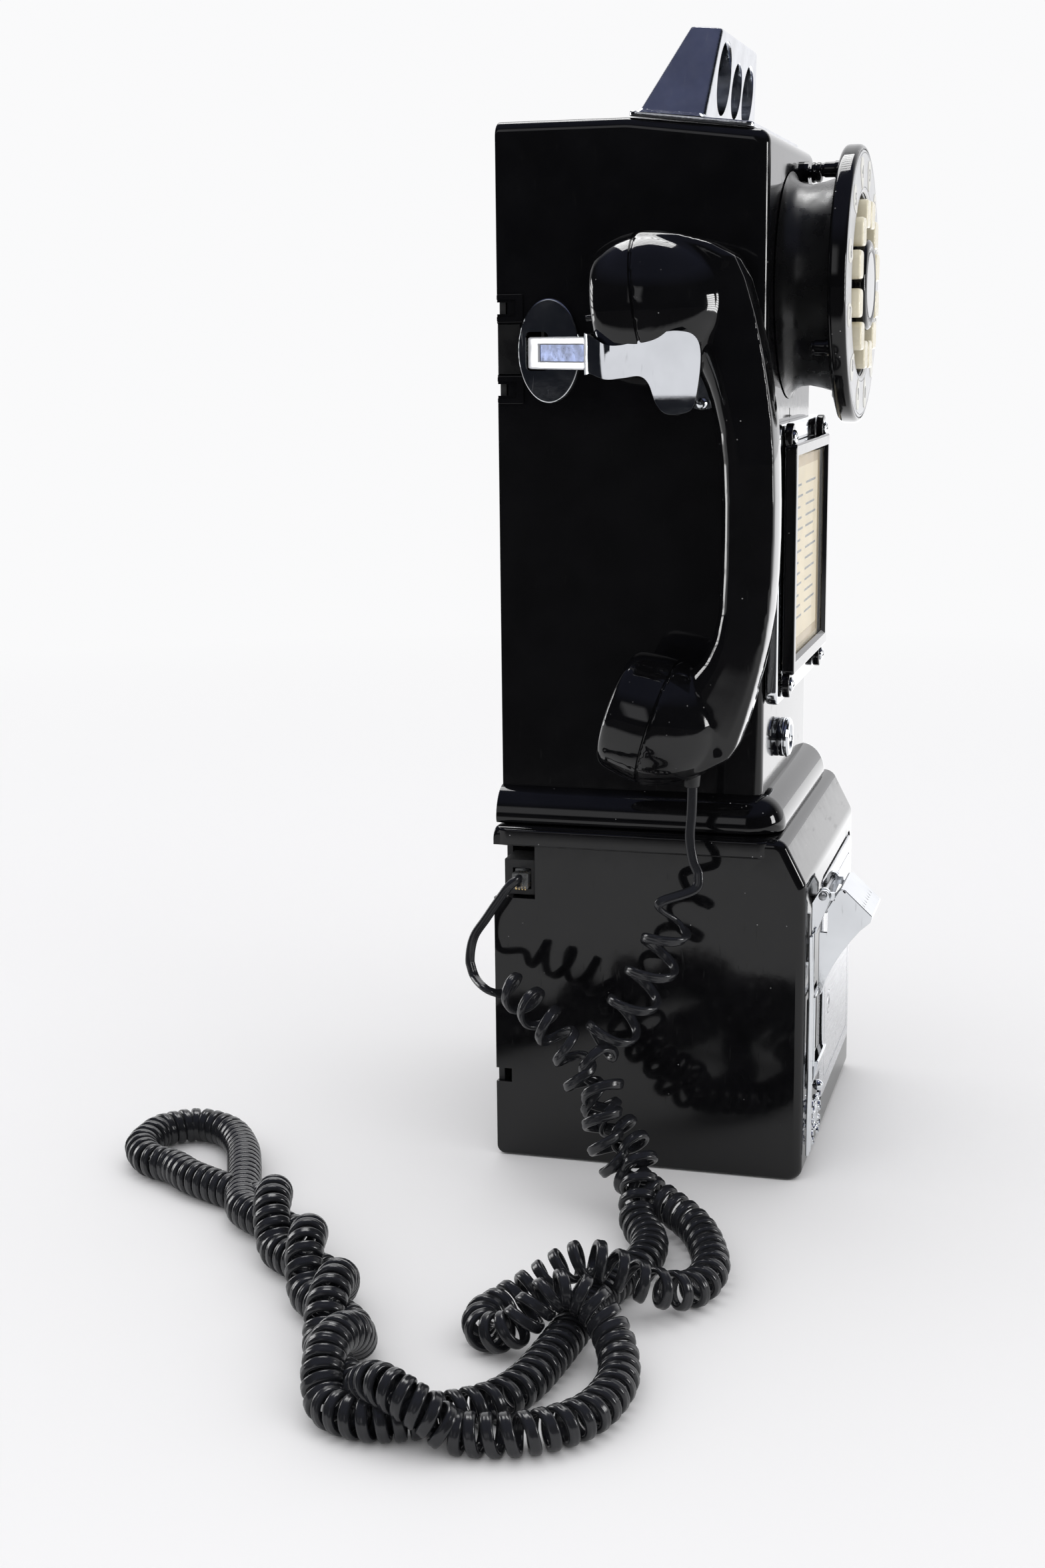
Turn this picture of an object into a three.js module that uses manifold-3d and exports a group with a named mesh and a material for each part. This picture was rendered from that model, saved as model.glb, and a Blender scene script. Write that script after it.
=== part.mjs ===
// Wall payphone, 1950s three-slot shape with push keys: one THREE.Group of named meshes.
// Millimetres, +Z up, the front faces -Y, the handset hangs on the -X side.
// The origin is the middle of the base's underside.
import * as THREE from "three";
import { mergeVertices } from "three/addons/utils/BufferGeometryUtils.js";
import Module from "manifold-3d";

const wasm = await Module();
wasm.setup();

// ---------------------------------------------------------------- driving dimensions
const WALL = 2.5; // housing wall
const GAP = 0.3; // between touching pieces
const BACK_Y = 65.5;
const BASE = { halfWidth: 76, front: -65.5, top: 145, chamferLow: 127, chamferBack: -56 };
const UPPER = { halfWidth: 60.5, front: -44.5, bottom: 145.4, top: 428.5, frontTop: 422, slopeStart: 12 };
const COLLAR = { top: 160, out: 11.5 };
const DIAL = { z: 364, rootRadius: 40.5, lipRadius: 44.5, rimRadius: 56, back: -66.8 };
const KEY = { ring: 29, width: 11, height: 11.4, corner: 2.5, front: -77.2, rear: -67.2, flange: 1.2 };
const GAUGE = { topHalf: 40, bottomHalf: 58, bottomZ: 429, topZ: 462.8, slope: 6.8 };
const COINS = [
  { x: -27, z: 444.3, radius: 13.8 },
  { x: 2, z: 442.4, radius: 10.8 },
  { x: 28.2, z: 442.6, radius: 12.2 },
];
const CARD = { halfWidth: 58, bottom: 196.5, top: 309.5, frameHalf: 49, frameBottom: 208, frameTop: 301.5 };
const HOUSING_LOCK = { x: -13.5, z: 176, radius: 8 };
const DOOR = {
  left: -26, right: 66.3, bottom: 18, top: 116.5, front: -66.5, thickness: 5,
  pivotX: 64.2, pivotY: -63.9,
};
const DOOR_LOCK = { x: -6, z: 57, radius: 5 };
const RETURN = { left: -73, right: -30, bottom: 8, top: 106, pivotY: -71, pivotZ: 120.2 };
const HOOK = { y: 43.5, z: 339, pivotX: -50, pivotZ: 338, armBottom: 331.9, armTop: 344.5 };
const HANDSET_X = -92;
const EAR = { y: -3.9, z: 354.6, radius: 29, tilt: -8.5 };
const MOUTH = { y: -8.4, z: 194.9, radius: 25.7, tilt: 17.9 };
const BUTTON = { x: 32, z: 411.5, radius: 4.6 };
const LEAD_RADIUS = 1.65;
const COIL_RADIUS = 7.3; // outer radius of the curly cord
const PAIR_SPACING = 16; // between the two strands where they run together

// ---------------------------------------------------------------- helpers
const SIDE = [new THREE.Vector3(0, 1, 0), new THREE.Vector3(0, 0, 1), new THREE.Vector3(1, 0, 0)];
const FRONT = [new THREE.Vector3(1, 0, 0), new THREE.Vector3(0, 0, 1), new THREE.Vector3(0, -1, 0)];
const FLOOR = [new THREE.Vector3(1, 0, 0), new THREE.Vector3(0, 1, 0), new THREE.Vector3(0, 0, 1)];

function toSolid(geometry) {
  const plain = geometry.clone();
  plain.deleteAttribute("normal");
  plain.deleteAttribute("uv");
  const merged = mergeVertices(plain, 1e-4);
  return new wasm.Manifold(
    new wasm.Mesh({
      numProp: 3,
      vertProperties: new Float32Array(merged.attributes.position.array),
      triVerts: new Uint32Array(merged.index.array),
    }),
  );
}

function toGeometry(solid) {
  const mesh = solid.simplify(0.004).getMesh();
  return new THREE.BufferGeometry()
    .setAttribute("position", new THREE.BufferAttribute(mesh.vertProperties, 3))
    .setIndex(new THREE.BufferAttribute(mesh.triVerts, 1));
}

function cut(geometry, ...tools) {
  return toGeometry(tools.reduce((left, tool) => left.subtract(toSolid(tool)), toSolid(geometry)));
}

function join(...pieces) {
  return toGeometry(pieces.slice(1).reduce((sum, piece) => sum.add(toSolid(piece)), toSolid(pieces[0])));
}

// Extrudes an outline along its plane's third direction from `at`, with edges rounded by `bevel`.
function prism(outline, plane, at, depth, bevel = 0, segments = 2) {
  const geometry = new THREE.ExtrudeGeometry(outline, {
    depth: depth - 2 * bevel,
    steps: 1,
    curveSegments: 4,
    bevelEnabled: bevel > 0,
    bevelThickness: bevel,
    bevelSize: bevel,
    bevelOffset: -bevel,
    bevelSegments: segments,
  });
  geometry.translate(0, 0, bevel);
  const origin = plane[2].clone().multiplyScalar(at);
  return geometry.applyMatrix4(new THREE.Matrix4().makeBasis(...plane).setPosition(origin));
}

function box(x0, x1, y0, y1, z0, z1) {
  const middle = [(x0 + x1) / 2, (y0 + y1) / 2, (z0 + z1) / 2];
  return new THREE.BoxGeometry(x1 - x0, y1 - y0, z1 - z0).translate(...middle);
}

// A polygon whose corners are rounded; a radius per corner or one for all.
function rounded(points, radius) {
  const outline = new THREE.Shape();
  points.forEach((point, i) => {
    const here = new THREE.Vector2(...point);
    const before = new THREE.Vector2(...points[(i + points.length - 1) % points.length]);
    const after = new THREE.Vector2(...points[(i + 1) % points.length]);
    const wanted = Array.isArray(radius) ? radius[i] : radius;
    const r = Math.min(wanted, 0.45 * here.distanceTo(before), 0.45 * here.distanceTo(after));
    const start = r > 0 ? here.clone().add(before.sub(here).setLength(r)) : here;
    if (i === 0) outline.moveTo(start.x, start.y);
    else outline.lineTo(start.x, start.y);
    const end = here.clone().add(after.sub(here).setLength(r));
    if (r > 0) outline.quadraticCurveTo(here.x, here.y, end.x, end.y);
  });
  return outline;
}

function rectangle(u0, u1, v0, v1, radius = 0) {
  return rounded([[u0, v0], [u1, v0], [u1, v1], [u0, v1]], radius);
}

// Turns a profile of [radius, height] pairs about an axis that starts at `origin`.
function lathe(profile, origin, direction, segments = 32) {
  const geometry = new THREE.LatheGeometry(profile.map((p) => new THREE.Vector2(...p)), segments);
  const upright = new THREE.Vector3(0, 1, 0);
  const turn = new THREE.Quaternion().setFromUnitVectors(upright, direction.clone().normalize());
  return geometry.applyQuaternion(turn).translate(...origin);
}

function rod(origin, direction, radius, length, segments = 20) {
  return lathe([[0, 0], [radius, 0], [radius, length], [0, length]], origin, direction, segments);
}

// Joins rings of equal point count, and closes both ends with a fan.
function loft(rings) {
  const count = rings[0].length;
  const positions = rings.flat(2);
  const index = [];
  for (let r = 0; r + 1 < rings.length; r++)
    for (let i = 0; i < count; i++) {
      const j = (i + 1) % count;
      const a = r * count + i;
      const b = r * count + j;
      index.push(a, b, b + count, a, b + count, a + count);
    }
  for (let i = 1; i + 1 < count; i++) {
    const last = (rings.length - 1) * count;
    index.push(0, i + 1, i, last, last + i, last + i + 1);
  }
  return new THREE.BufferGeometry()
    .setAttribute("position", new THREE.Float32BufferAttribute(positions, 3))
    .setIndex(index);
}

const MINUS_Y = new THREE.Vector3(0, -1, 0);
const PLUS_Y = new THREE.Vector3(0, 1, 0);
const PLUS_X = new THREE.Vector3(1, 0, 0);
const PLUS_Z = new THREE.Vector3(0, 0, 1);

const MATERIALS = {
  blackGloss: new THREE.MeshStandardMaterial({ color: 0x0b0b0c, roughness: 0.12, metalness: 0 }),
  blackMatte: new THREE.MeshStandardMaterial({ color: 0x151516, roughness: 0.6, metalness: 0 }),
  chrome: new THREE.MeshStandardMaterial({ color: 0xd8d9dc, roughness: 0.08, metalness: 1 }),
  satin: new THREE.MeshStandardMaterial({ color: 0xc9cacf, roughness: 0.35, metalness: 1 }),
  cream: new THREE.MeshStandardMaterial({ color: 0xe6dcb8, roughness: 0.4, metalness: 0 }),
  paper: new THREE.MeshStandardMaterial({ color: 0xece4d2, roughness: 0.9, metalness: 0 }),
  clear: new THREE.MeshStandardMaterial({ color: 0xf4f6f8, roughness: 0.05, metalness: 0 }),
  steel: new THREE.MeshStandardMaterial({ color: 0x9a9ca0, roughness: 0.3, metalness: 1 }),
  board: new THREE.MeshStandardMaterial({ color: 0x2f6b3c, roughness: 0.5, metalness: 0 }),
  grey: new THREE.MeshStandardMaterial({ color: 0x6d6f72, roughness: 0.6, metalness: 0 }),
  cord: new THREE.MeshStandardMaterial({ color: 0x161719, roughness: 0.4, metalness: 0 }),
};

const payphone = new THREE.Group();
payphone.name = "payphone";

function add(name, geometry, material) {
  const mesh = new THREE.Mesh(geometry, material);
  mesh.name = name;
  payphone.add(mesh);
}

// ---------------------------------------------------------------- base
function baseOutline(inset) {
  return rounded(
    [
      [BASE.front + inset, inset],
      [BACK_Y, inset],
      [BACK_Y, BASE.top - inset],
      [BASE.chamferBack + inset * 0.7, BASE.top - inset],
      [BASE.front + inset, BASE.chamferLow - inset * 0.5],
    ],
    [5, 0, 0, 4, 6],
  );
}

function baseHousing() {
  const w = BASE.halfWidth;
  const shell = prism(baseOutline(0), SIDE, -w, 2 * w, 2);
  const lip = box(-w - 0.9, w + 0.9, BASE.chamferBack + 4, BACK_Y, BASE.top - 8, BASE.top - 0.8);
  const hollow = prism(
    rounded(
      [
        [BASE.front + WALL, 3],
        [BACK_Y + 5, 3],
        [BACK_Y + 5, BASE.top - WALL],
        [BASE.chamferBack + 1.6, BASE.top - WALL],
        [BASE.front + WALL, BASE.chamferLow - 1.2],
      ],
      0,
    ),
    SIDE,
    -w + WALL,
    2 * (w - WALL),
  );
  const underside = box(-w + WALL, w - WALL, BASE.front + WALL, BACK_Y + 5, -1, 4);
  const doorway = prism(
    rectangle(DOOR.left - 1.4, 68.3, DOOR.bottom - 1.6, DOOR.top + 1.6, 5),
    FRONT,
    -BASE.front - WALL - 0.5,
    WALL + 1.5,
  );
  const returnHole = box(-67, -37, BASE.front - 1, BASE.front + WALL + 0.5, 46, 76);
  const coinHole = box(-46, 46, -22, 0, BASE.top - WALL - 1, BASE.top + 1);
  const wireHole = box(-60, -48, 30, 44, BASE.top - WALL - 1, BASE.top + 1);
  const jackNotch = box(-w - 2, -w + WALL + 0.5, 47.7, BACK_Y + 1, 114.5, 137.2);
  const cornerNotch = box(-w - 2, -w + WALL + 0.5, 58.7, BACK_Y + 1, 33.2, 39.2);
  const plateSlot = box(-58.6, 58.6, 62.3, BACK_Y + 1, BASE.top - 4, BASE.top + 1);
  const lugs = [DOOR.top + 2, DOOR.bottom - 7].map((z) => box(60.5, 69.5, BASE.front + 0.4, -60, z, z + 5));
  const pinHole = rod([DOOR.pivotX, DOOR.pivotY, DOOR.bottom - 5], PLUS_Z, 1.4, 108, 12);
  const holes = [doorway, returnHole, coinHole, wireHole, plateSlot, jackNotch, cornerNotch];
  const open = cut(join(shell, lip), hollow, underside, ...holes);
  return cut(join(open, ...lugs), pinHole);
}

function bottomPlate() {
  const w = BASE.halfWidth - WALL - GAP;
  return box(-w, w, BASE.front + WALL + GAP, BACK_Y - 3.4, 0, 2.6);
}

// One plate closes the back of both housings; two keyholes hang it on screws.
function backPlate() {
  const wide = BASE.halfWidth - WALL - 0.5;
  const narrow = UPPER.halfWidth - WALL - 0.5;
  const outline = rounded(
    [
      [-wide, 3],
      [wide, 3],
      [wide, BASE.top - WALL - 0.6],
      [narrow, BASE.top - WALL - 0.6],
      [narrow, UPPER.top - WALL - 1],
      [-narrow, UPPER.top - WALL - 1],
      [-narrow, BASE.top - WALL - 0.6],
      [-wide, BASE.top - WALL - 0.6],
    ],
    0.5,
  );
  const plate = prism(outline, FRONT, -BACK_Y + 0.2, 2.6);
  const keyholes = [90, 340].flatMap((z) => [
    rod([0, 70, z], MINUS_Y, 5, 12, 20),
    box(-2.4, 2.4, 58, 70, z, z + 12),
  ]);
  return cut(plate, ...keyholes, box(-80, -56, 60, 70, 110, 139));
}

// ---------------------------------------------------------------- upper housing
function upperOutline(inset) {
  return rounded(
    [
      [UPPER.front + inset, UPPER.bottom],
      [BACK_Y, UPPER.bottom],
      [BACK_Y, UPPER.top - inset],
      [UPPER.slopeStart, UPPER.top - inset],
      [UPPER.front + inset, UPPER.frontTop - inset],
    ],
    [0, 0, 0, 8, 9],
  );
}

function collarRing(z, out) {
  const side = UPPER.halfWidth - 1 + out;
  const front = UPPER.front + 1 - out * 0.9;
  const radius = 3 + out;
  const points = [[side, BACK_Y, z], [side, front + radius, z]];
  const steps = 5;
  for (let i = 0; i <= steps; i++) {
    const a = (i / steps) * Math.PI * 0.5;
    points.push([side - radius + radius * Math.cos(a), front + radius - radius * Math.sin(a), z]);
  }
  const mirrored = points.map(([x, y]) => [-x, y, z]).reverse();
  return [...points, ...mirrored].reverse();
}

function collar() {
  const rings = [];
  const steps = 5;
  for (let i = 0; i <= steps; i++) {
    const a = (i / steps) * Math.PI * 0.5;
    const height = COLLAR.top - UPPER.bottom - 2;
    rings.push(collarRing(UPPER.bottom + 2 + height * Math.sin(a), COLLAR.out * Math.cos(a) + 0.5));
  }
  return loft([collarRing(UPPER.bottom, COLLAR.out - 0.5), ...rings]);
}

function upperHousing() {
  const w = UPPER.halfWidth;
  const shell = prism(upperOutline(0), SIDE, -w, 2 * w, 4, 3);
  const hollow = prism(
    rounded(
      [
        [UPPER.front + WALL, UPPER.bottom - 5],
        [BACK_Y + 5, UPPER.bottom - 5],
        [BACK_Y + 5, UPPER.top - WALL],
        [UPPER.slopeStart, UPPER.top - WALL],
        [UPPER.front + WALL, UPPER.frontTop - WALL],
      ],
      [0, 0, 0, 6, 4],
    ),
    SIDE,
    -w + WALL,
    2 * (w - WALL),
    1.5,
    1,
  );
  const neck = box(-w + WALL, w - WALL, UPPER.front + WALL, BACK_Y + 5, UPPER.bottom - 2, UPPER.bottom + 20);
  const buttonBoss = rod([BUTTON.x, UPPER.front + 1, BUTTON.z], MINUS_Y, BUTTON.radius, 3.2, 20);
  const clips = [356, 323.6].map((z) => box(-w - 0.7, -w + 1, 54.6, BACK_Y - 0.2, z - 5.5, z + 5.5));
  const clipSlots = [356, 323.6].map((z) => box(-w - 2, -w + WALL + 1, 61.5, BACK_Y + 1, z - 2.3, z + 2.3));
  const holes = [
    rod([0, UPPER.front - 1, DIAL.z], PLUS_Y, 12, 6, 24),
    rod([HOUSING_LOCK.x, UPPER.front - 1, HOUSING_LOCK.z], PLUS_Y, 7, 6, 24),
    rod([BUTTON.x, UPPER.front - 5, BUTTON.z], PLUS_Y, 2.6, 12, 16),
    box(-0.1, 1.3, UPPER.front - 1, UPPER.front + WALL + 1, 310.2, 314.2),
    box(-w - 2, -w + WALL + 1, 42.5, 56.5, 329.8, 348.2),
    ...COINS.map((coin) => box(coin.x - coin.radius, coin.x + coin.radius, -14, -8, 415, 440)),
  ];
  const body = join(shell, collar(), buttonBoss, ...clips);
  return cut(body, hollow, neck, ...clipSlots, ...holes);
}

// ---------------------------------------------------------------- coin path
function gaugeRing(half, front, rear, z, tiltRise) {
  return [
    [half, front, z],
    [half, rear, z + tiltRise],
    [-half, rear, z + tiltRise],
    [-half, front, z],
  ];
}

function coinGauge() {
  const block = loft([
    gaugeRing(GAUGE.bottomHalf, -17.5, 6.8, GAUGE.bottomZ - 2, 2.6),
    gaugeRing(GAUGE.topHalf + 1.5, -20.4, -8.6, GAUGE.topZ - 2.4, 1.2),
    gaugeRing(GAUGE.topHalf, -19.4, -10.6, GAUGE.topZ - 0.6, 0.8),
  ]);
  const tilt = THREE.MathUtils.degToRad(GAUGE.slope);
  const flangeHalf = GAUGE.bottomHalf + 0.8;
  const flange = prism(rectangle(-flangeHalf, flangeHalf, -25, 25, 2), FLOOR, 0, 2.2, 0.5, 1);
  flange.rotateX(tilt).translate(0, -13, 425.9);
  const bores = COINS.map((coin) => rod([coin.x, -30, coin.z], PLUS_Y, coin.radius, 18.5, 28));
  const slots = COINS.map(({ x, z, radius }) => box(x - radius + 1, x + radius - 1, -13.8, -9, 415, z + 3));
  return cut(join(block, flange), ...bores, ...slots);
}

function coinChute() {
  const outer = box(-43.5, 43.5, -16.4, -5.6, 161, 421.5);
  const lanes = COINS.map((coin) => box(coin.x - coin.radius, coin.x + coin.radius, -14, -8, 150, 430));
  return cut(outer, ...lanes);
}

function coinHopper() {
  const ring = (x0, x1, y0, y1, z) => [[x1, y0, z], [x1, y1, z], [x0, y1, z], [x0, y0, z]];
  const outer = loft([
    ring(2, 38, -19, -3, 118),
    ring(-45, 45, -19, -3, 158),
    ring(-45, 45, -19, -3, 160.6),
  ]);
  const inner = loft([
    ring(3.4, 36.6, -17.6, -4.4, 117),
    ring(-43.6, 43.6, -17.6, -4.4, 158),
    ring(-43.6, 43.6, -17.6, -4.4, 162),
  ]);
  return cut(outer, inner);
}

function cashBox() {
  const outer = prism(rectangle(-28, 62, -58, 50, 4), FLOOR, 3.2, 96);
  return cut(outer, prism(rectangle(-26.4, 60.4, -56.4, 48.4, 3), FLOOR, 5, 100));
}

// ---------------------------------------------------------------- dial
function keyCentre(i) {
  const a = THREE.MathUtils.degToRad(15 + 30 * i);
  return [KEY.ring * Math.sin(a), DIAL.z + KEY.ring * Math.cos(a)];
}

function dialDrum() {
  const profile = [
    [36.5, 0.4], [46, 0.4], [43, 1.6], [41.2, 4], [DIAL.rootRadius, 7],
    [DIAL.lipRadius - 0.8, 20.6], [DIAL.lipRadius, 22], [38.8, 22], [36.5, 4], [36.5, 0.4],
  ];
  return lathe(profile, [0, UPPER.front, DIAL.z], MINUS_Y, 48);
}

function dialBezel() {
  const profile = [
    [0, 2.2], [38.2, 2.2], [38.2, 0], [54.6, 0], [DIAL.rimRadius, 1.2],
    [DIAL.rimRadius, 5.8], [54.6, 7.2], [54, 7.2], [54, 6.4], [36.5, 6.4], [36.5, 4.4], [0, 4.4],
  ];
  const bosses = [29, 119, 209, 299].map((degrees) => {
    const a = THREE.MathUtils.degToRad(degrees);
    return rod([51 * Math.cos(a), DIAL.back + 7.3, DIAL.z + 51 * Math.sin(a)], MINUS_Y, 3.3, 8.3, 14);
  });
  const disc = join(lathe(profile, [0, DIAL.back, DIAL.z], MINUS_Y, 56), ...bosses);
  const holes = Array.from({ length: 12 }, (_, i) => {
    const [x, z] = keyCentre(i);
    const w = KEY.width / 2 + 0.4;
    const h = KEY.height / 2 + 0.4;
    return box(x - w, x + w, DIAL.back - 8, DIAL.back + 1, z - h, z + h);
  });
  return cut(disc, ...holes, rod([0, DIAL.back + 1, DIAL.z], MINUS_Y, 6, 10, 20));
}

function dialKey(i) {
  const [x, z] = keyCentre(i);
  const w = KEY.width / 2;
  const h = KEY.height / 2;
  const outline = rectangle(x - w, x + w, z - h, z + h, KEY.corner);
  const cap = prism(outline, FRONT, -KEY.rear - 0.6, KEY.rear - KEY.front + 0.6, 0.9, 1);
  const flange = box(x - w - 0.7, x + w + 0.7, KEY.rear - KEY.flange, KEY.rear, z - h - 0.6, z + h + 0.6);
  return join(cap, flange);
}

function dialFace() {
  return lathe([[37, 0], [53.7, 0], [53.7, 0.8], [37, 0.8], [37, 0]], [0, -73.5, DIAL.z], MINUS_Y, 56);
}

function releaseButton() {
  const head = rod([BUTTON.x, -48, BUTTON.z], MINUS_Y, 4.2, 4.4, 20);
  return join(head, rod([BUTTON.x, -36, BUTTON.z], MINUS_Y, 2.2, 14, 16));
}

function dialHub() {
  const profile = [
    [0, 0], [5.4, 0], [5.4, 4.9], [17.6, 4.9], [18.3, 5.6], [18.3, 9.4], [16.6, 11.2],
    [14.6, 11.2], [13.9, 10.2], [0, 10.2],
  ];
  return lathe(profile, [0, DIAL.back + 0.4, DIAL.z], MINUS_Y, 40);
}

// Clockwise from the key right of the top.
const KEY_NAMES = [
  "key_3", "key_2", "key_1", "key_hash", "key_star", "key_0",
  "key_9", "key_8", "key_7", "key_6", "key_5", "key_4",
];

// ---------------------------------------------------------------- card holder
function cardBacking() {
  const outline = rectangle(-CARD.halfWidth, CARD.halfWidth, CARD.bottom, CARD.top, 5);
  return prism(outline, FRONT, 44.8, 5.2, 0.8, 1);
}

function cardFrame() {
  const f = CARD.frameHalf;
  const body = prism(rectangle(-f, f, CARD.frameBottom, CARD.frameTop, 1.5), FRONT, 50.3, 5, 0.6, 1);
  const lugs = [-44, 44].flatMap((x) => [203.8, 304.2].map((z) => rod([x, -50.3, z], MINUS_Y, 5.4, 3, 18)));
  const opening = box(-43, 43, -60, -49, 214.5, 295.5);
  const rebate = box(-46, 46, -53.4, -49, 211.5, 298.5);
  return cut(join(body, ...lugs), opening, rebate);
}

// ---------------------------------------------------------------- locks
function lockBarrel() {
  const { x, z, radius } = HOUSING_LOCK;
  const profile = [
    [5.3, 0], [6.6, 0], [6.6, 19.2], [radius, 19.2], [radius, 21.6], [radius + 0.6, 22], [radius - 0.2, 23.6],
    [radius - 1, 24], [5.3, 24], [5.3, 0],
  ];
  return lathe(profile, [x, -25.3, z], MINUS_Y, 32);
}

function lockPlug({ x, z }, front, depth, radius, camLength) {
  const plug = rod([x, front + depth, z], MINUS_Y, radius, depth, 24);
  const cam = box(x - 3, x + 3, front + depth - 0.2, front + depth + 2, z - 3, z + camLength);
  const keyway = box(x - 0.7, x + 0.7, front - 1, front + 3, z - 3.4, z + 3.4);
  return cut(join(plug, cam), keyway);
}

// ---------------------------------------------------------------- vault door
function vaultDoor() {
  const d = DOOR;
  const outline = rectangle(d.left, d.right, d.bottom, d.top, 5);
  const plate = prism(outline, FRONT, -d.front - d.thickness, d.thickness, 0.8, 2);
  const pinHole = rod([d.pivotX, d.pivotY, d.bottom - 5], PLUS_Z, 1.4, 120, 12);
  const lockHole = rod([DOOR_LOCK.x, d.front - 5, DOOR_LOCK.z], PLUS_Y, DOOR_LOCK.radius + 0.3, 20, 24);
  const hollow = box(d.left + 4, d.right - 6, d.front + 2.4, d.front + 10, d.bottom + 4, d.top - 4);
  const lockBoss = rod([DOOR_LOCK.x, d.front + 1, DOOR_LOCK.z], PLUS_Y, 8.5, d.thickness - 1, 24);
  return cut(join(cut(plate, hollow), lockBoss), pinHole, lockHole);
}

function hingePin() {
  return rod([DOOR.pivotX, DOOR.pivotY, DOOR.bottom - 4.6], PLUS_Z, 1.1, 107, 12);
}

// ---------------------------------------------------------------- coin return
function returnPlate() {
  const r = RETURN;
  const sheet = prism(rectangle(r.left, r.right, r.bottom, r.top, 2), FRONT, 65.8, 1.4, 0.3, 1);
  const rail = (x0, x1) => box(x0, x1, -68, -66.4, r.bottom + 2, r.top - 1);
  const rails = [rail(r.left + 1, r.left + 3), rail(r.left + 6, r.left + 9)];
  const tabOutline = rounded([[-65.9, 104], [-67.2, 104], [-71.4, 114.2], [-70.2, 114.8]], 0.2);
  const tab = prism(tabOutline, SIDE, -61.7, 29.2);
  const opening = box(-60.5, -37, -70, -60, 48, 75);
  const lug = (x) => box(x, x + 2.2, -74, -66, 104, 122.5);
  const pinHole = rod([-70, r.pivotY, r.pivotZ], PLUS_X, 1.2, 50, 12);
  const tongue = prism(rounded([[-66, 46], [-70, 47], [-66, 34]], 0.3), SIDE, -60.5, 23.5);
  return cut(join(sheet, ...rails, tab, tongue, lug(-64.6), lug(-31.8)), opening, pinHole);
}

function returnHood() {
  const outer = [
    [-69.4, 77], [-69.2, 108.5], [-77.4, 122.6], [-79.4, 122.8], [-91, 111.9], [-90.2, 109.8],
    [-86, 105.6], [-78.3, 95.2], [-72.6, 85],
  ];
  const inner = [
    [-60, 76], [-60, 106], [-71.6, 108.6], [-78.6, 120.4], [-88.6, 111], [-84, 105.4],
    [-76.5, 95.4], [-70.8, 84],
  ];
  const body = prism(rounded(outer, [0.6, 1, 1.5, 1, 1, 1, 2, 2, 1]), SIDE, -62, 29.8);
  const hollow = prism(rounded(inner, 0.4), SIDE, -60.2, 26.2);
  const gap = box(-70, -20, -72.7, -60, 104, 121.6);
  const ears = [-62, -34.2].map((x) => rod([x, RETURN.pivotY, RETURN.pivotZ], PLUS_X, 2.6, 2, 16));
  const web = [-62, -34.2].map((x) => box(x, x + 2, -75.5, -71, 117.8, 121));
  const pinHole = rod([-66, RETURN.pivotY, RETURN.pivotZ], PLUS_X, 1.2, 40, 12);
  return cut(join(cut(body, hollow, gap), ...ears, ...web), pinHole);
}

function returnCup() {
  const shell = box(-67.6, -36.4, -62.6, -38, 42.5, 79);
  const bowl = rounded([[-70, 45], [-58, 45], [-41, 54], [-41, 77.4], [-70, 77.4]], [0, 6, 8, 3, 0]);
  return cut(shell, prism(bowl, SIDE, -66, 28));
}

// ---------------------------------------------------------------- hook
function escutcheon() {
  const oval = new THREE.Shape();
  oval.absellipse(HOOK.y, HOOK.z, 12.8, 20.7, 0, Math.PI * 2);
  const plate = prism(oval, SIDE, -62.6, 1.8, 0.5, 1);
  return cut(plate, box(-70, -55, 42.8, 53.8, 331, 347.4));
}

// The cradle: a U in plan, with prongs that rise and then dip at their free ends.
function prongOutline() {
  return rounded(
    [
      [17, 345], [12, 344.6], [6.5, 341.3], [0, 341.4], [-9.5, 344], [-16, 346.2], [-21.5, 346.3],
      [-26, 345], [-29.2, 341], [-29.4, 333.2], [-28, 322.4], [-26.8, 317.6], [-16.6, 316],
      [-13.2, 320.4], [-10.4, 327.4], [-7, 330.2], [6.4, 328.9], [13, 331.2], [17, 331.6],
    ],
    1,
  );
}

function hookArm() {
  const near = -121.2;
  const far = -62.8;
  const block = prism(prongOutline(), SIDE, near, far - near, 0.4, 1);
  const wall = 2.6;
  const plan = rounded(
    [[near + wall, -40], [far - wall, -40], [far - wall, 17 - wall + 0.2], [near + wall, 17 - wall + 0.2]],
    [0, 0, 9, 9],
  );
  const outerPlan = rounded([[near, -40], [far, -40], [far, 17], [near, 17]], [0, 0, 11, 11]);
  const corners = cut(box(near - 5, far + 5, -45, 30, 300, 360), prism(outerPlan, FLOOR, 290, 80));
  const cradle = cut(block, prism(plan, FLOOR, 300, 60), corners);
  const beam = prism(
    rounded(
      [[-47, 52.5], [-61.6, 52.9], [-99, 15.8], [-90, 15], [-62.5, 44.3], [-47, 44.3]],
      [0, 4, 0, 0, 4, 0],
    ),
    FLOOR,
    HOOK.armBottom,
    HOOK.armTop - HOOK.armBottom,
  );
  const hub = rod([HOOK.pivotX, 44.3, HOOK.pivotZ], PLUS_Y, 4.6, 8.2, 20);
  const tail = box(-50, -36, 45, 52, HOOK.pivotZ - 3.5, HOOK.pivotZ + 3.5);
  const pinHole = rod([HOOK.pivotX, 30, HOOK.pivotZ], PLUS_Y, 1.8, 40, 14);
  return cut(join(cradle, beam, hub, tail), pinHole);
}

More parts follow.
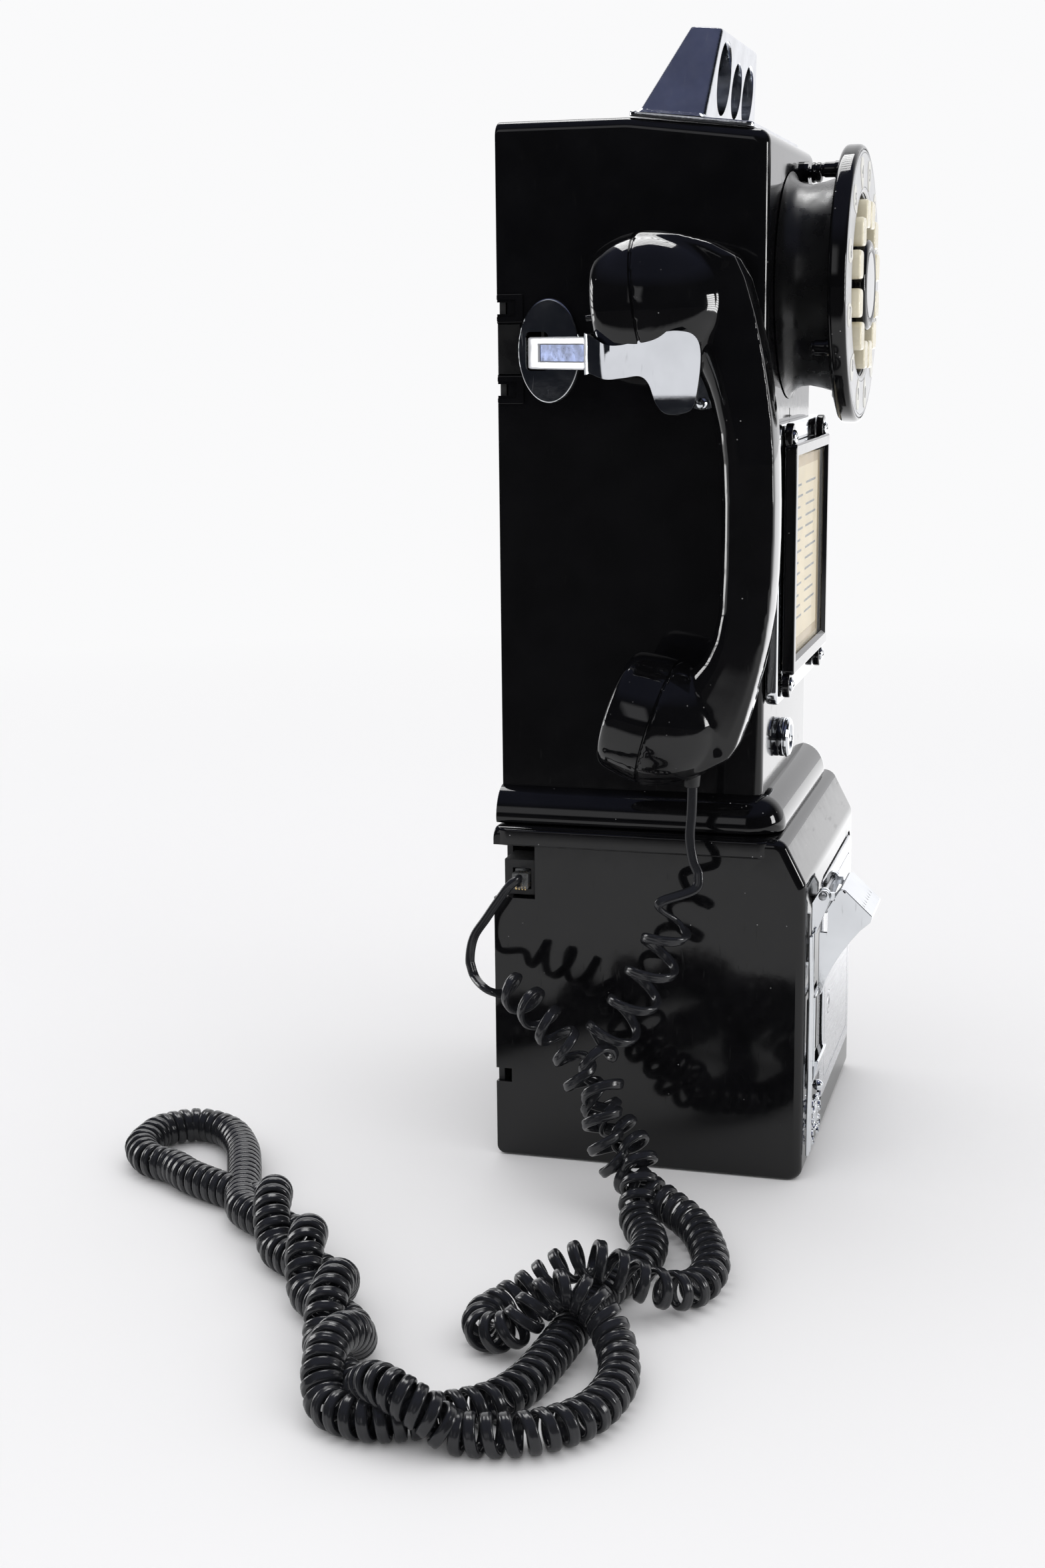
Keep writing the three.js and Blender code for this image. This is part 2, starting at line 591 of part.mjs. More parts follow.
function hookSpring() {
  const points = [];
  const turns = 5;
  const stepsPerTurn = 10;
  const pitch = 1.9;
  for (let i = 0; i <= turns * stepsPerTurn; i++) {
    const turn = i / stepsPerTurn;
    const a = turn * Math.PI * 2;
    points.push(new THREE.Vector3(-40 + 2.6 * Math.cos(a), 48.5 + 2.6 * Math.sin(a), 322.4 + turn * pitch));
  }
  const wire = new THREE.Shape();
  wire.absarc(0, 0, 0.5, 0, Math.PI * 2);
  return new THREE.ExtrudeGeometry(wire, {
    steps: turns * stepsPerTurn,
    curveSegments: 3,
    bevelEnabled: false,
    extrudePath: new THREE.CatmullRomCurve3(points),
  });
}

function hookBracket() {
  const floor = box(-58.4 + 0.6, -30, 40, 58, 318.4, 320.6);
  const cheeks = [[40, 42], [56, 58]].map(([y0, y1]) => box(-57.8, -44, y0, y1, 318.4, 343));
  const pinHole = rod([HOOK.pivotX, 30, HOOK.pivotZ], PLUS_Y, 1.8, 40, 14);
  return cut(join(floor, ...cheeks), pinHole);
}

// ---------------------------------------------------------------- handset
function axisOf(end) {
  const a = THREE.MathUtils.degToRad(end.tilt);
  return new THREE.Vector3(0, Math.cos(a), Math.sin(a));
}

// Turns a profile about the axis of the ear or the mouth end; +1 looks out of the shell, -1 into it.
function endLathe(end, profile, side, segments) {
  return lathe(profile, [HANDSET_X, end.y, end.z], axisOf(end).multiplyScalar(side), segments);
}

function handsetBody() {
  const outline = rounded(
    [
      [-1, 383.2], [-16.6, 381.9], [-27.9, 379], [-39.4, 373.2], [-46, 353.3], [-51.4, 327.2],
      [-54.4, 305], [-55.4, 275], [-54.4, 245], [-49.3, 216.8], [-41.7, 189.4], [-37.9, 182.1],
      [-18.5, 173.2], [-2, 170.4], [-17, 219.4], [-24, 220.6], [-30.4, 226], [-33, 240], [-34, 275],
      [-33.4, 303], [-29.6, 318.6], [-22, 325.2], [-10, 326.6],
    ],
    0,
  );
  const grip = prism(outline, SIDE, HANDSET_X - 14, 28, 3, 2);
  const ear = endLathe(
    EAR,
    [[0, 0], [EAR.radius, 0], [28.2, 8], [24.2, 17], [21.4, 21.4], [15.2, 28], [7, 32.4], [0, 33.6]],
    -1,
    36,
  );
  const mouth = endLathe(
    MOUTH,
    [[0, 0], [MOUTH.radius, 0], [25.2, 3], [21.7, 13], [17.2, 20.4], [10.7, 25.6], [6.4, 27.4], [0, 28.6]],
    -1,
    36,
  );
  const trimEar = endLathe(EAR, [[0, 0], [60, 0], [60, 30], [0, 30]], 1, 24);
  const trimMouth = endLathe(MOUTH, [[0, 0], [40, 0], [40, 30], [0, 30]], 1, 24);
  const pocket = (end, radius) => endLathe(end, [[0, -1], [radius, -1], [radius, 10], [0, 10]], -1, 28);
  const solid = cut(join(grip, ear, mouth), trimEar, trimMouth, pocket(EAR, 22), pocket(MOUTH, 19));
  return cut(solid, rod([HANDSET_X, -21.8, 165], PLUS_Z, LEAD_RADIUS + 0.6, 14, 10));
}

function earCap() {
  const profile = [[0, 0], [EAR.radius, 0], [27.4, 9], [24.6, 14.7], [21.6, 17], [12, 18.4], [0, 18.6]];
  return endLathe(EAR, profile.map(([r, h]) => [r, h + GAP]), 1, 36);
}

function mouthCap() {
  const profile = [[0, 0], [MOUTH.radius, 0], [25, 8], [24, 15.5], [21.5, 17.8], [12, 19], [0, 19.3]];
  return endLathe(MOUTH, profile.map(([r, h]) => [r, h + GAP]), 1, 36);
}

function capsule(end, radius) {
  return endLathe(end, [[0, 0.8], [radius, 0.8], [radius, 8], [0, 8]], -1, 24);
}

// ---------------------------------------------------------------- cord
// Routes are lists of points, set by hand: [x, y, z] along the middle of the lead or of the coil.
const HANDSET_LEAD = [
  [-92, -21.8, 176], [-92.2, -22, 166], [-92.6, -21.8, 157], [-93.2, -21.4, 148], [-94, -23, 139],
  [-95, -25.6, 133], [-96.4, -24.8, 128.6], [-98.42, -19.91, 123.82],
];
const PLUG_LEAD = [
  [-78.4, 54, 122], [-82, 52.6, 124], [-87, 52, 125.4], [-90, 54.5, 123.6], [-91, 58.6, 118],
  [-92, 64.4, 109.3], [-93, 69.2, 101.9], [-93.8, 70.7, 95.7],
  [-94.8, 70.6, 89.6], [-95.5, 68.8, 85.5], [-96.92, 63.3, 84.65],
];
// The two coiled strands hang from the leads, then run side by side down to the surface.
const HANDSET_COIL = [
  [-98.6, -19.6, 123], [-101, -15.4, 112], [-103.4, -9.8, 99], [-105, -3.4, 86.4], [-106, 4, 74],
];
const PLUG_COIL = [[-97, 63, 84.6], [-99.6, 53, 83], [-105, 43.4, 79], [-112, 33.4, 73]];
const DROP = [[-111, 17.8, 60], [-116, 11.4, 46], [-122, 3.4, 32], [-128, -6.4, 20]];
const OUTER_LOOP = [
  [-148, -34, 8.4], [-165, -43, 7.4], [-186, -48, 7.4], [-204, -44, 8], [-216, -33, 13.5],
  [-220, -21, 20.5], [-221, -12, 23.8], [-221, -3, 20.5], [-223, 8, 12.5], [-231, 18, 7.4],
  [-243, 22, 7.4], [-254, 17, 8], [-256, 7, 11.5], [-250, -2, 20.5], [-247, -10, 23.8],
  [-248, -18, 20.5], [-254, -27, 12.5], [-268, -33, 7.4], [-286, -34, 7.4], [-303, -29, 7.4],
  [-317, -14, 7.4],
];
const INNER_RUN = [
  [-147, -12, 8.4], [-166, -21, 7.4], [-186, -22, 7.4], [-204, -16, 7.4], [-224, -12, 7.4], [-247, -10, 7.4],
  [-268, -8, 7.4], [-286, -5, 7.4], [-300, 1, 7.4],
];
const PAIR_RUN = [
  [-316, 11], [-320, 24], [-319, 37], [-311, 49], [-297, 57], [-280, 62], [-262, 69], [-243, 80], [-224, 93],
  [-205, 108], [-186, 124], [-167, 140],
];
const END_OUT = [
  [-135, 158, 7.4], [-114, 168, 7.4], [-98, 181, 7.4], [-93, 197, 7.4], [-103, 209.6, 7.4],
  [-108, 211, 7.4], [-112.9, 211, 7.4],
];
const END_BACK = [
  [-150, 174, 7.4], [-141, 187, 7.4], [-136, 200, 7.4], [-124, 209.8, 7.4], [-118, 211, 7.4],
  [-113.2, 211, 7.4],
];

function curveOf(points) {
  return new THREE.CatmullRomCurve3(points.map((p) => new THREE.Vector3(...p)), false, "centripetal");
}

// Points of one strand of a pair that runs beside a spine; side is +1 or -1.
function besideSpine(spine, side) {
  const curve = curveOf(spine.map(([x, y, z = 7.4]) => [x, y, z]));
  return spine.map((_, i) => {
    const t = curve.getUtoTmapping(i / (spine.length - 1));
    const along = curve.getTangent(t);
    const across = new THREE.Vector3(-along.y, along.x, 0).normalize();
    return curve.getPoint(t).addScaledVector(across, (side * PAIR_SPACING) / 2).toArray();
  });
}

function tube(points, radius, steps, sides) {
  const section = new THREE.Shape();
  for (let i = 0; i < sides; i++) {
    const a = (i / sides) * Math.PI * 2;
    section[i ? "lineTo" : "moveTo"](radius * Math.cos(a), radius * Math.sin(a));
  }
  return new THREE.ExtrudeGeometry(section, {
    steps,
    bevelEnabled: false,
    extrudePath: curveOf(points),
  });
}

const HANDSET_SIDE = [
  ...HANDSET_COIL, ...besideSpine(DROP, 1), ...OUTER_LOOP, ...besideSpine(PAIR_RUN, 1), ...END_BACK,
];
const PLUG_SIDE = [
  ...PLUG_COIL, ...besideSpine(DROP, -1), ...INNER_RUN, ...besideSpine(PAIR_RUN, -1), ...END_OUT,
];

// ---------------------------------------------------------------- jack
function jack() {
  const body = box(-73.2, -57, 48.4, 61.6, 115.4, 130.6);
  return cut(body, box(-80, -60, 50, 58, 118, 127));
}

function plug() {
  const body = box(-76.6, -62, 50.6, 57.4, 118.6, 125.4);
  const latch = box(-78, -70, 52.4, 55.6, 125.2, 126.6);
  return join(body, latch);
}

// ---------------------------------------------------------------- assembly
add("base_housing", baseHousing(), MATERIALS.blackGloss);
add("bottom_plate", bottomPlate(), MATERIALS.blackMatte);
add("back_plate", backPlate(), MATERIALS.blackMatte);
add("upper_housing", upperHousing(), MATERIALS.blackGloss);
add("coin_gauge", coinGauge(), MATERIALS.chrome);
add("coin_chute", coinChute(), MATERIALS.grey);
add("coin_hopper", coinHopper(), MATERIALS.grey);
add("cash_box", cashBox(), MATERIALS.steel);
add("dial_drum", dialDrum(), MATERIALS.blackGloss);
add("dial_bezel", dialBezel(), MATERIALS.blackGloss);
add("dial_face", dialFace(), MATERIALS.satin);
add("dial_hub", dialHub(), MATERIALS.blackGloss);
add("dial_label", rod([0, -77, DIAL.z], MINUS_Y, 13.2, 0.5, 32), MATERIALS.paper);
KEY_NAMES.forEach((name, i) => add(name, dialKey(i), MATERIALS.cream));
add("keypad_board", rod([0, -61.5, DIAL.z], MINUS_Y, 35.6, 1.6, 32), MATERIALS.board);
add("release_button", releaseButton(), MATERIALS.blackGloss);

add("card_backing", cardBacking(), MATERIALS.chrome);
add("card_frame", cardFrame(), MATERIALS.blackGloss);
add("card_window", box(-45.6, 45.6, -53.1, -52.1, 211.9, 298.1), MATERIALS.clear);
add("card_sheet", box(-45.6, 45.6, -51.6, -50.9, 211.9, 298.1), MATERIALS.paper);

add("housing_lock_barrel", lockBarrel(), MATERIALS.chrome);
add("housing_lock_plug", lockPlug(HOUSING_LOCK, -48.6, 24, 5, 14), MATERIALS.chrome);

add("vault_door", vaultDoor(), MATERIALS.satin);
add("vault_lock_plug", lockPlug(DOOR_LOCK, DOOR.front - 0.3, 6.6, DOOR_LOCK.radius, 13), MATERIALS.satin);
add("vault_hinge_pin", hingePin(), MATERIALS.steel);

add("return_plate", returnPlate(), MATERIALS.chrome);
add("return_hood", returnHood(), MATERIALS.chrome);
add("return_pin", rod([-65, RETURN.pivotY, RETURN.pivotZ], PLUS_X, 0.9, 38, 12), MATERIALS.steel);
add("return_cup", returnCup(), MATERIALS.blackMatte);

add("hook_escutcheon", escutcheon(), MATERIALS.chrome);
add("hook_arm", hookArm(), MATERIALS.chrome);
add("hook_pin", rod([HOOK.pivotX, 39.6, HOOK.pivotZ], PLUS_Y, 1.5, 19, 14), MATERIALS.steel);
add("hook_spring", hookSpring(), MATERIALS.steel);
add("hook_bracket", hookBracket(), MATERIALS.steel);
add("hook_switch", box(-46, -30, 43, 57, 349, 362), MATERIALS.blackMatte);

add("handset_body", handsetBody(), MATERIALS.blackGloss);
add("ear_cap", earCap(), MATERIALS.blackGloss);
add("mouth_cap", mouthCap(), MATERIALS.blackGloss);
add("receiver", capsule(EAR, 21), MATERIALS.grey);
add("transmitter", capsule(MOUTH, 18), MATERIALS.grey);

add("main_board", box(-48, 48, 30, 31.6, 190, 300), MATERIALS.board);
add("ringer", rod([10, 4, 200], PLUS_Y, 20, 18, 24), MATERIALS.steel);
add("jack", jack(), MATERIALS.blackMatte);
add("cord_plug", plug(), MATERIALS.clear);

add("cord_lead_handset", tube(HANDSET_LEAD, LEAD_RADIUS, 14, 8), MATERIALS.cord);
add("cord_coil_a", tube(HANDSET_SIDE, COIL_RADIUS, 112, 8), MATERIALS.cord);
add("cord_coil_b", tube(PLUG_SIDE, COIL_RADIUS, 88, 8), MATERIALS.cord);
add("cord_lead_plug", tube(PLUG_LEAD, LEAD_RADIUS, 20, 8), MATERIALS.cord);

export default payphone;
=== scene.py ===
"""Looks of the payphone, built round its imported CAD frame. Metres; the builders below take millimetres."""

import math

import bmesh
import bpy
from mathutils import Matrix, Vector


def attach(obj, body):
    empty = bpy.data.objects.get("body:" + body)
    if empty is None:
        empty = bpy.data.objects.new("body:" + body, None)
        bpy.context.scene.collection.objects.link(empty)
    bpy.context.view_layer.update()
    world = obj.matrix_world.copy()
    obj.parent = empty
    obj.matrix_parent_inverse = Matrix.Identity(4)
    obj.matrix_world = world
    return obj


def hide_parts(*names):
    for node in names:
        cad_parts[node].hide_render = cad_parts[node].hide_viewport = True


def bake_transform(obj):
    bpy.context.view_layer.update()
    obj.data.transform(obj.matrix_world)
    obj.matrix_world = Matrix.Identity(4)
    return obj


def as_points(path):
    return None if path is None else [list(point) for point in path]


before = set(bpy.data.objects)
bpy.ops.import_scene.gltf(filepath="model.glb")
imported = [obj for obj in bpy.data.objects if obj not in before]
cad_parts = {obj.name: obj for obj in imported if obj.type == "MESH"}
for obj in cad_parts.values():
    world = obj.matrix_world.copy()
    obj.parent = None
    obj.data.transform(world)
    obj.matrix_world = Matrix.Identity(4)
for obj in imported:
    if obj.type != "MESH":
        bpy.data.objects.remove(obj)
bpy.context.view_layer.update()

MM = 0.001
WALL_WHITE = (0.955, 0.955, 0.962)
SLAT_SHARE, SLAT_GLOW = 0.27, 0.15
RIGHT, BACK, FRONT, UP = (1, 0, 0), (0, 1, 0), (0, -1, 0), (0, 0, 1)

# The camera of the photograph: millimetres and degrees.
CAMERA_PLACE = (-911.0, -183.1, 346.2)
CAMERA_AZIMUTH, CAMERA_ELEVATION, CAMERA_ROLL = -74.238, 11.890, -0.624
CAMERA_LENS, CAMERA_SENSOR = 49.18, 36

# Places that more than one piece is built on.
DIAL_Z, DIAL_BACK, KEY_CIRCLE = 364.0, -66.8, 29
HANDSET_X = -92.0
COIN_HOLES = ((-27, 444.3, 13.8), (2, 442.4, 10.8), (28.2, 442.6, 12.2))  # x, z, radius
CLIP_HEIGHTS = (356, 323.6)
CARD_LUGS = [(x, z) for x in (-44, 44) for z in (203.8, 304.2)]
RELEASE_X, RELEASE_Z = 32, 411.5
HOUSING_LOCK_X, HOUSING_LOCK_Z = -13.5, 176
VAULT_LOCK_X, VAULT_LOCK_Z = -6, 57
DOOR_PIN = (64.2, -63.9)  # x, y
HOOD_PIN = (-71, 120.2)  # y, z
HOOK_PIN_X, HOOK_PIN_Z = -50, 338


# ------------------------------------------------------------------ camera, floor and light
def add_camera():
    azimuth, elevation, roll = (math.radians(a) for a in (CAMERA_AZIMUTH, CAMERA_ELEVATION, CAMERA_ROLL))
    level = math.cos(elevation)
    back = Vector((math.sin(azimuth) * level, -math.cos(azimuth) * level, math.sin(elevation)))
    right = Vector((math.cos(azimuth), math.sin(azimuth), 0))
    up = back.cross(right)
    x_axis = right * math.cos(roll) + up * math.sin(roll)
    y_axis = up * math.cos(roll) - right * math.sin(roll)
    data = bpy.data.cameras.new("camera")
    data.sensor_fit = "VERTICAL"
    data.sensor_height = CAMERA_SENSOR
    data.lens = CAMERA_LENS
    data.clip_start = 0.01
    camera = bpy.data.objects.new("camera", data)
    bpy.context.scene.collection.objects.link(camera)
    turn = Matrix((x_axis, y_axis, back)).transposed().to_4x4()
    camera.matrix_world = Matrix.Translation(Vector(CAMERA_PLACE) * MM) @ turn
    bpy.context.scene.camera = camera


def aim(obj, place, target):
    obj.location = Vector(place)
    obj.rotation_euler = (Vector(target) - Vector(place)).to_track_quat("-Z", "Y").to_euler()


def add_area_light(name, place, target, size, power):
    data = bpy.data.lights.new(name, "AREA")
    data.shape = "RECTANGLE"
    data.size, data.size_y = size
    data.energy = power
    lamp = bpy.data.objects.new(name, data)
    bpy.context.scene.collection.objects.link(lamp)
    aim(lamp, place, target)
    lamp.visible_glossy = False


def ramp_node(tree, value, low, high, to_low=0.0, to_high=1.0):
    made = tree.nodes.new("ShaderNodeMapRange")
    for key, number in (("From Min", low), ("From Max", high), ("To Min", to_low), ("To Max", to_high)):
        made.inputs[key].default_value = number
    tree.links.new(value, made.inputs["Value"])
    return made.outputs["Result"]


def math_node(tree, operation, *values):
    made = tree.nodes.new("ShaderNodeMath")
    made.operation = operation
    for socket, value in zip(made.inputs, values):
        if isinstance(value, (int, float)):
            socket.default_value = value
        else:
            tree.links.new(value, socket)
    return made.outputs[0]


def mix_node(tree, factor, a, b):
    made = tree.nodes.new("ShaderNodeMix")
    made.data_type = "RGBA"
    sockets = [s for s in made.inputs if s.type == "RGBA"]
    for socket, value in ((made.inputs["Factor"], factor), (sockets[0], a), (sockets[1], b)):
        if isinstance(value, tuple):
            socket.default_value = (*value, 1)
        elif isinstance(value, (int, float)):
            socket.default_value = value
        else:
            tree.links.new(value, socket)
    return [s for s in made.outputs if s.type == "RGBA"][0]


def coordinates(tree, kind):
    """A texture coordinate, whole and split into x, y and z."""
    whole = tree.nodes.new("ShaderNodeTexCoord").outputs[kind]
    split = tree.nodes.new("ShaderNodeSeparateXYZ")
    tree.links.new(whole, split.inputs["Vector"])
    return whole, split.outputs


def add_world():
    """A white room to look at. What shines sees a white wall to the right, a pale panel to the left, and between
    them a dim room with a navy ceiling."""
    world = bpy.data.worlds.new("studio")
    bpy.context.scene.world = world
    world.use_nodes = True
    tree = world.node_tree
    _, (x, y, z) = coordinates(tree, "Generated")
    ahead = ramp_node(tree, x, 0.4, 0.75)
    panel = ramp_node(tree, x, -0.55, -0.72)
    for value, low, high in ((z, 0.12, 0.18), (z, 0.54, 0.46), (y, 0.06, 0.12), (y, 0.4, 0.32)):
        panel = math_node(tree, "MULTIPLY", panel, ramp_node(tree, value, low, high))
    room = mix_node(tree, ramp_node(tree, z, 0.5, 0.75), (0.008, 0.009, 0.012), (0.085, 0.095, 0.16))
    bright = math_node(tree, "MAXIMUM", ahead, panel)
    white = mix_node(tree, ahead, (0.76, 0.76, 0.78), (1.1, 1.1, 1.12))
    seen = mix_node(tree, bright, room, white)
    rays = tree.nodes.new("ShaderNodeLightPath")
    lit = mix_node(tree, rays.outputs["Is Camera Ray"], (0.98, 0.98, 0.99), WALL_WHITE)
    background = tree.nodes["Background"]
    tree.links.new(mix_node(tree, rays.outputs["Is Glossy Ray"], lit, seen), background.inputs["Color"])


def flat_pane(name, half_width, half_height):
    w, h = half_width, half_height
    return new_piece(name, [(-w, -h, 0), (w, -h, 0), (w, h, 0), (-w, h, 0)], [(0, 1, 2, 3)])


def add_floor():
    """White paper that runs into the wall without a line; in reflections it ends on the left and grows brighter on
    the right."""
    floor = flat_pane("floor", 9000, 9000)
    paper = bpy.data.materials.new("floor_paper")
    paper.use_nodes = True
    tree = paper.node_tree
    shader = tree.nodes["Principled BSDF"]
    shader.inputs["Roughness"].default_value = 0.8
    shader.inputs["Specular IOR Level"].default_value = 0.25
    place, (x, _, _) = coordinates(tree, "Object")
    rays = tree.nodes.new("ShaderNodeLightPath")
    edge = math_node(tree, "ADD", ramp_node(tree, x, -0.78, -0.6, 0.03, 0.8), ramp_node(tree, x, 0.15, 0.5, 0.0, 1.1))
    tone = mix_node(tree, rays.outputs["Is Glossy Ray"], (0.9, 0.895, 0.9), edge)
    tree.links.new(tone, shader.inputs["Base Color"])
    away = tree.nodes.new("ShaderNodeVectorMath")
    away.operation = "LENGTH"
    tree.links.new(place, away.inputs[0])
    far = math_node(tree, "MULTIPLY", ramp_node(tree, away.outputs["Value"], 0.5, 1.6),
                    math_node(tree, "SUBTRACT", 1.0, rays.outputs["Is Glossy Ray"]))
    glow = tree.nodes.new("ShaderNodeEmission")
    glow.inputs["Color"].default_value = (*WALL_WHITE, 1)
    blend = tree.nodes.new("ShaderNodeMixShader")
    tree.links.new(far, blend.inputs["Fac"])
    tree.links.new(shader.outputs[0], blend.inputs[1])
    tree.links.new(glow.outputs[0], blend.inputs[2])
    tree.links.new(blend.outputs[0], tree.nodes["Material Output"].inputs["Surface"])
    floor.data.materials.append(paper)


def add_window(name, place, target, size, strength, slats):
    """A bright pane with dark slats across it, which shows in the gloss."""
    pane = flat_pane(name, size[0] / 2 / MM, size[1] / 2 / MM)
    aim(pane, place, target)
    pane.visible_camera = False
    pane.visible_diffuse = False
    glass = bpy.data.materials.new(name)
    glass.use_nodes = True
    tree = glass.node_tree
    tree.nodes.remove(tree.nodes["Principled BSDF"])
    _, (_, y, _) = coordinates(tree, "Object")
    step = math_node(tree, "FRACT", math_node(tree, "MULTIPLY", y, slats / size[1]))
    gap = math_node(tree, "GREATER_THAN", step, SLAT_SHARE)
    glow = tree.nodes.new("ShaderNodeEmission")
    lit, dim = strength * (1 - SLAT_GLOW), strength * SLAT_GLOW
    tree.links.new(math_node(tree, "MULTIPLY_ADD", gap, lit, dim), glow.inputs["Strength"])
    tree.links.new(glow.outputs[0], tree.nodes["Material Output"].inputs["Surface"])
    pane.data.materials.append(glass)


def add_studio():
    bpy.context.scene.view_settings.view_transform = "Standard"
    add_world()
    add_floor()
    add_area_light("key", (-0.8, -1.5, 1.3), (-0.05, 0, 0.2), (0.9, 0.9), 2.2)
    add_area_light("top", (0.1, 0.2, 1.9), (0, 0, 0.2), (1.4, 1.0), 3.2)
    add_window("side_window", (-0.06, -1.25, 0.43), (-0.06, 0, 0.42), (0.3, 0.45), 17, 8)
    add_window("left_window", (0.3, 1.4, 0.45), (0, 0, 0.35), (0.5, 0.75), 7, 6)
    add_window("roof_window", (0.55, 0.25, 1.5), (0, 0.2, 0.35), (0.95, 0.6), 9, 8)


# ------------------------------------------------------------------ mesh builders, in millimetres
def new_piece(name, vertices, faces):
    mesh = bpy.data.meshes.new(name)
    mesh.from_pydata([Vector(v) * MM for v in vertices], [], faces)
    mesh.validate()
    mesh.update()
    obj = bpy.data.objects.new(name, mesh)
    bpy.context.scene.collection.objects.link(obj)
    return obj


def rounded(points, radius, steps=6):
    """A polygon whose corners are arcs; radius is one number or one per corner."""
    outline = []
    count = len(points)
    for i, point in enumerate(points):
        r = radius[i] if isinstance(radius, (list, tuple)) else radius
        here = Vector(point)
        to_last = Vector(points[i - 1]) - here
        to_next = Vector(points[(i + 1) % count]) - here
        if r <= 0:
            outline.append(tuple(here))
            continue
        half = to_last.angle(to_next) / 2
        reach = min(r / math.tan(half), 0.49 * to_last.length, 0.49 * to_next.length)
        r = reach * math.tan(half)
        start = here + to_last.normalized() * reach
        end = here + to_next.normalized() * reach
        centre = here + (to_last.normalized() + to_next.normalized()).normalized() * math.hypot(reach, r)
        a, b = start - centre, end - centre
        sweep = a.angle_signed(b) * -1
        for k in range(steps + 1):
            angle = sweep * k / steps
            outline.append((
                centre.x + a.x * math.cos(angle) - a.y * math.sin(angle),
                centre.y + a.x * math.sin(angle) + a.y * math.cos(angle),
            ))
    return outline


def rectangle(u0, u1, v0, v1, radius, steps=6):
    return rounded([(u0, v0), (u1, v0), (u1, v1), (u0, v1)], radius, steps)


def ellipse(u, v, a, b, steps):
    return [(u + a * math.cos(k * math.tau / steps), v + b * math.sin(k * math.tau / steps)) for k in range(steps)]


PLANES = {
    "side": lambda u, v, w: (w, u, v),
    "front": lambda u, v, w: (u, -w, v),
    "floor": lambda u, v, w: (u, v, w),
}


def prism(name, outline, plane, at, depth):
    place = PLANES[plane]
    count = len(outline)
    vertices = [place(u, v, at) for u, v in outline] + [place(u, v, at + depth) for u, v in outline]
    area = sum(outline[i - 1][0] * p[1] - p[0] * outline[i - 1][1] for i, p in enumerate(outline))
    sides = [(i, (i + 1) % count, count + (i + 1) % count, count + i) for i in range(count)]
    faces = [tuple(range(count))[::-1], tuple(range(count, 2 * count))] + sides
    if area < 0:
        faces = [face[::-1] for face in faces]
    return new_piece(name, vertices, faces)


def box(name, x0, x1, y0, y1, z0, z1):
    return prism(name, [(x0, y0), (x1, y0), (x1, y1), (x0, y1)], "floor", z0, z1 - z0)


def lathe(name, profile, origin, direction, segments, closed=False):
    """Turns (radius, height) pairs round an axis; points on the axis become poles."""
    axis = Vector(direction).normalized()
    turn = Vector(UP).rotation_difference(axis)
    vertices, rings = [], []
    for radius, height in profile:
        if radius < 1e-6:
            rings.append([len(vertices)])
            vertices.append(tuple(Vector(origin) + turn @ Vector((0, 0, height))))
            continue
        rings.append(list(range(len(vertices), len(vertices) + segments)))
        for k in range(segments):
            a = k * math.tau / segments
            spot = turn @ Vector((radius * math.cos(a), radius * math.sin(a), height))
            vertices.append(tuple(Vector(origin) + spot))
    pairs = list(zip(rings, rings[1:]))
    if closed:
        pairs.append((rings[-1], rings[0]))
    faces = []
    for low, high in pairs:
        if len(low) == 1 and len(high) == 1:
            continue
        for k in range(segments):
            j = (k + 1) % segments
            if len(low) == 1:
                faces.append((low[0], high[j], high[k]))
            elif len(high) == 1:
                faces.append((low[k], low[j], high[0]))
            else:
                faces.append((low[k], low[j], high[j], high[k]))
    obj = new_piece(name, vertices, faces)
    face_outwards(obj)
    return obj


def rod(name, origin, direction, radius, length, segments=48):
    """A plain cylinder that starts at the origin."""
    return lathe(name, [(0, 0), (radius, 0), (radius, length), (0, length)], origin, direction, segments)


def pin(name, origin, direction, radius, length):
    """A round pin with a small chamfer at both ends."""
    nip = radius - 0.2
    profile = [(0, 0), (nip, 0), (radius, 0.3), (radius, length - 0.3), (nip, length), (0, length)]
    return dress(lathe(name, profile, origin, direction, 32), STEEL, "housing", "steel", name)


def loft(name, rings):
    """Joins rings of equal point count and closes both ends."""
    count = len(rings[0])
    vertices = [point for ring in rings for point in ring]
    faces = [tuple(range(count))[::-1], tuple(range(len(vertices) - count, len(vertices)))]
    for r in range(len(rings) - 1):
        for i in range(count):
            j = (i + 1) % count
            faces.append((r * count + i, r * count + j, (r + 1) * count + j, (r + 1) * count + i))
    obj = new_piece(name, vertices, faces)
    face_outwards(obj)
    return obj


def rounded_slab(name, outline_at, half, radius):
    """A slab along X whose two rims are rounded; outline_at(d) gives its outline drawn in by d."""
    quarter = [math.pi / 2 * k / 8 for k in range(9)]
    inset = [(radius * (1 - math.cos(a)), radius * (1 - math.sin(a))) for a in quarter]
    near = [[(-half + across, y, z) for y, z in outline_at(drawn_in)] for across, drawn_in in inset]
    return loft(name, near + [[(-x, y, z) for x, y, z in ring] for ring in reversed(near)])


def face_outwards(obj):
    work = bmesh.new()
    work.from_mesh(obj.data)
    bmesh.ops.recalc_face_normals(work, faces=work.faces)
    work.to_mesh(obj.data)
    work.free()


def bake(obj):
    """Applies the modifiers of a piece to its mesh."""
    bpy.context.view_layer.update()
    graph = bpy.context.evaluated_depsgraph_get()
    mesh = bpy.data.meshes.new_from_object(obj.evaluated_get(graph))
    obj.modifiers.clear()
    obj.data = mesh
    return obj


def bevel(obj, width, segments, angle=40):
    modifier = obj.modifiers.new("bevel", "BEVEL")
    modifier.width = width * MM
    modifier.segments = segments
    modifier.limit_method = "ANGLE"
    modifier.angle_limit = math.radians(angle)
    modifier.use_clamp_overlap = True
    return bake(obj)


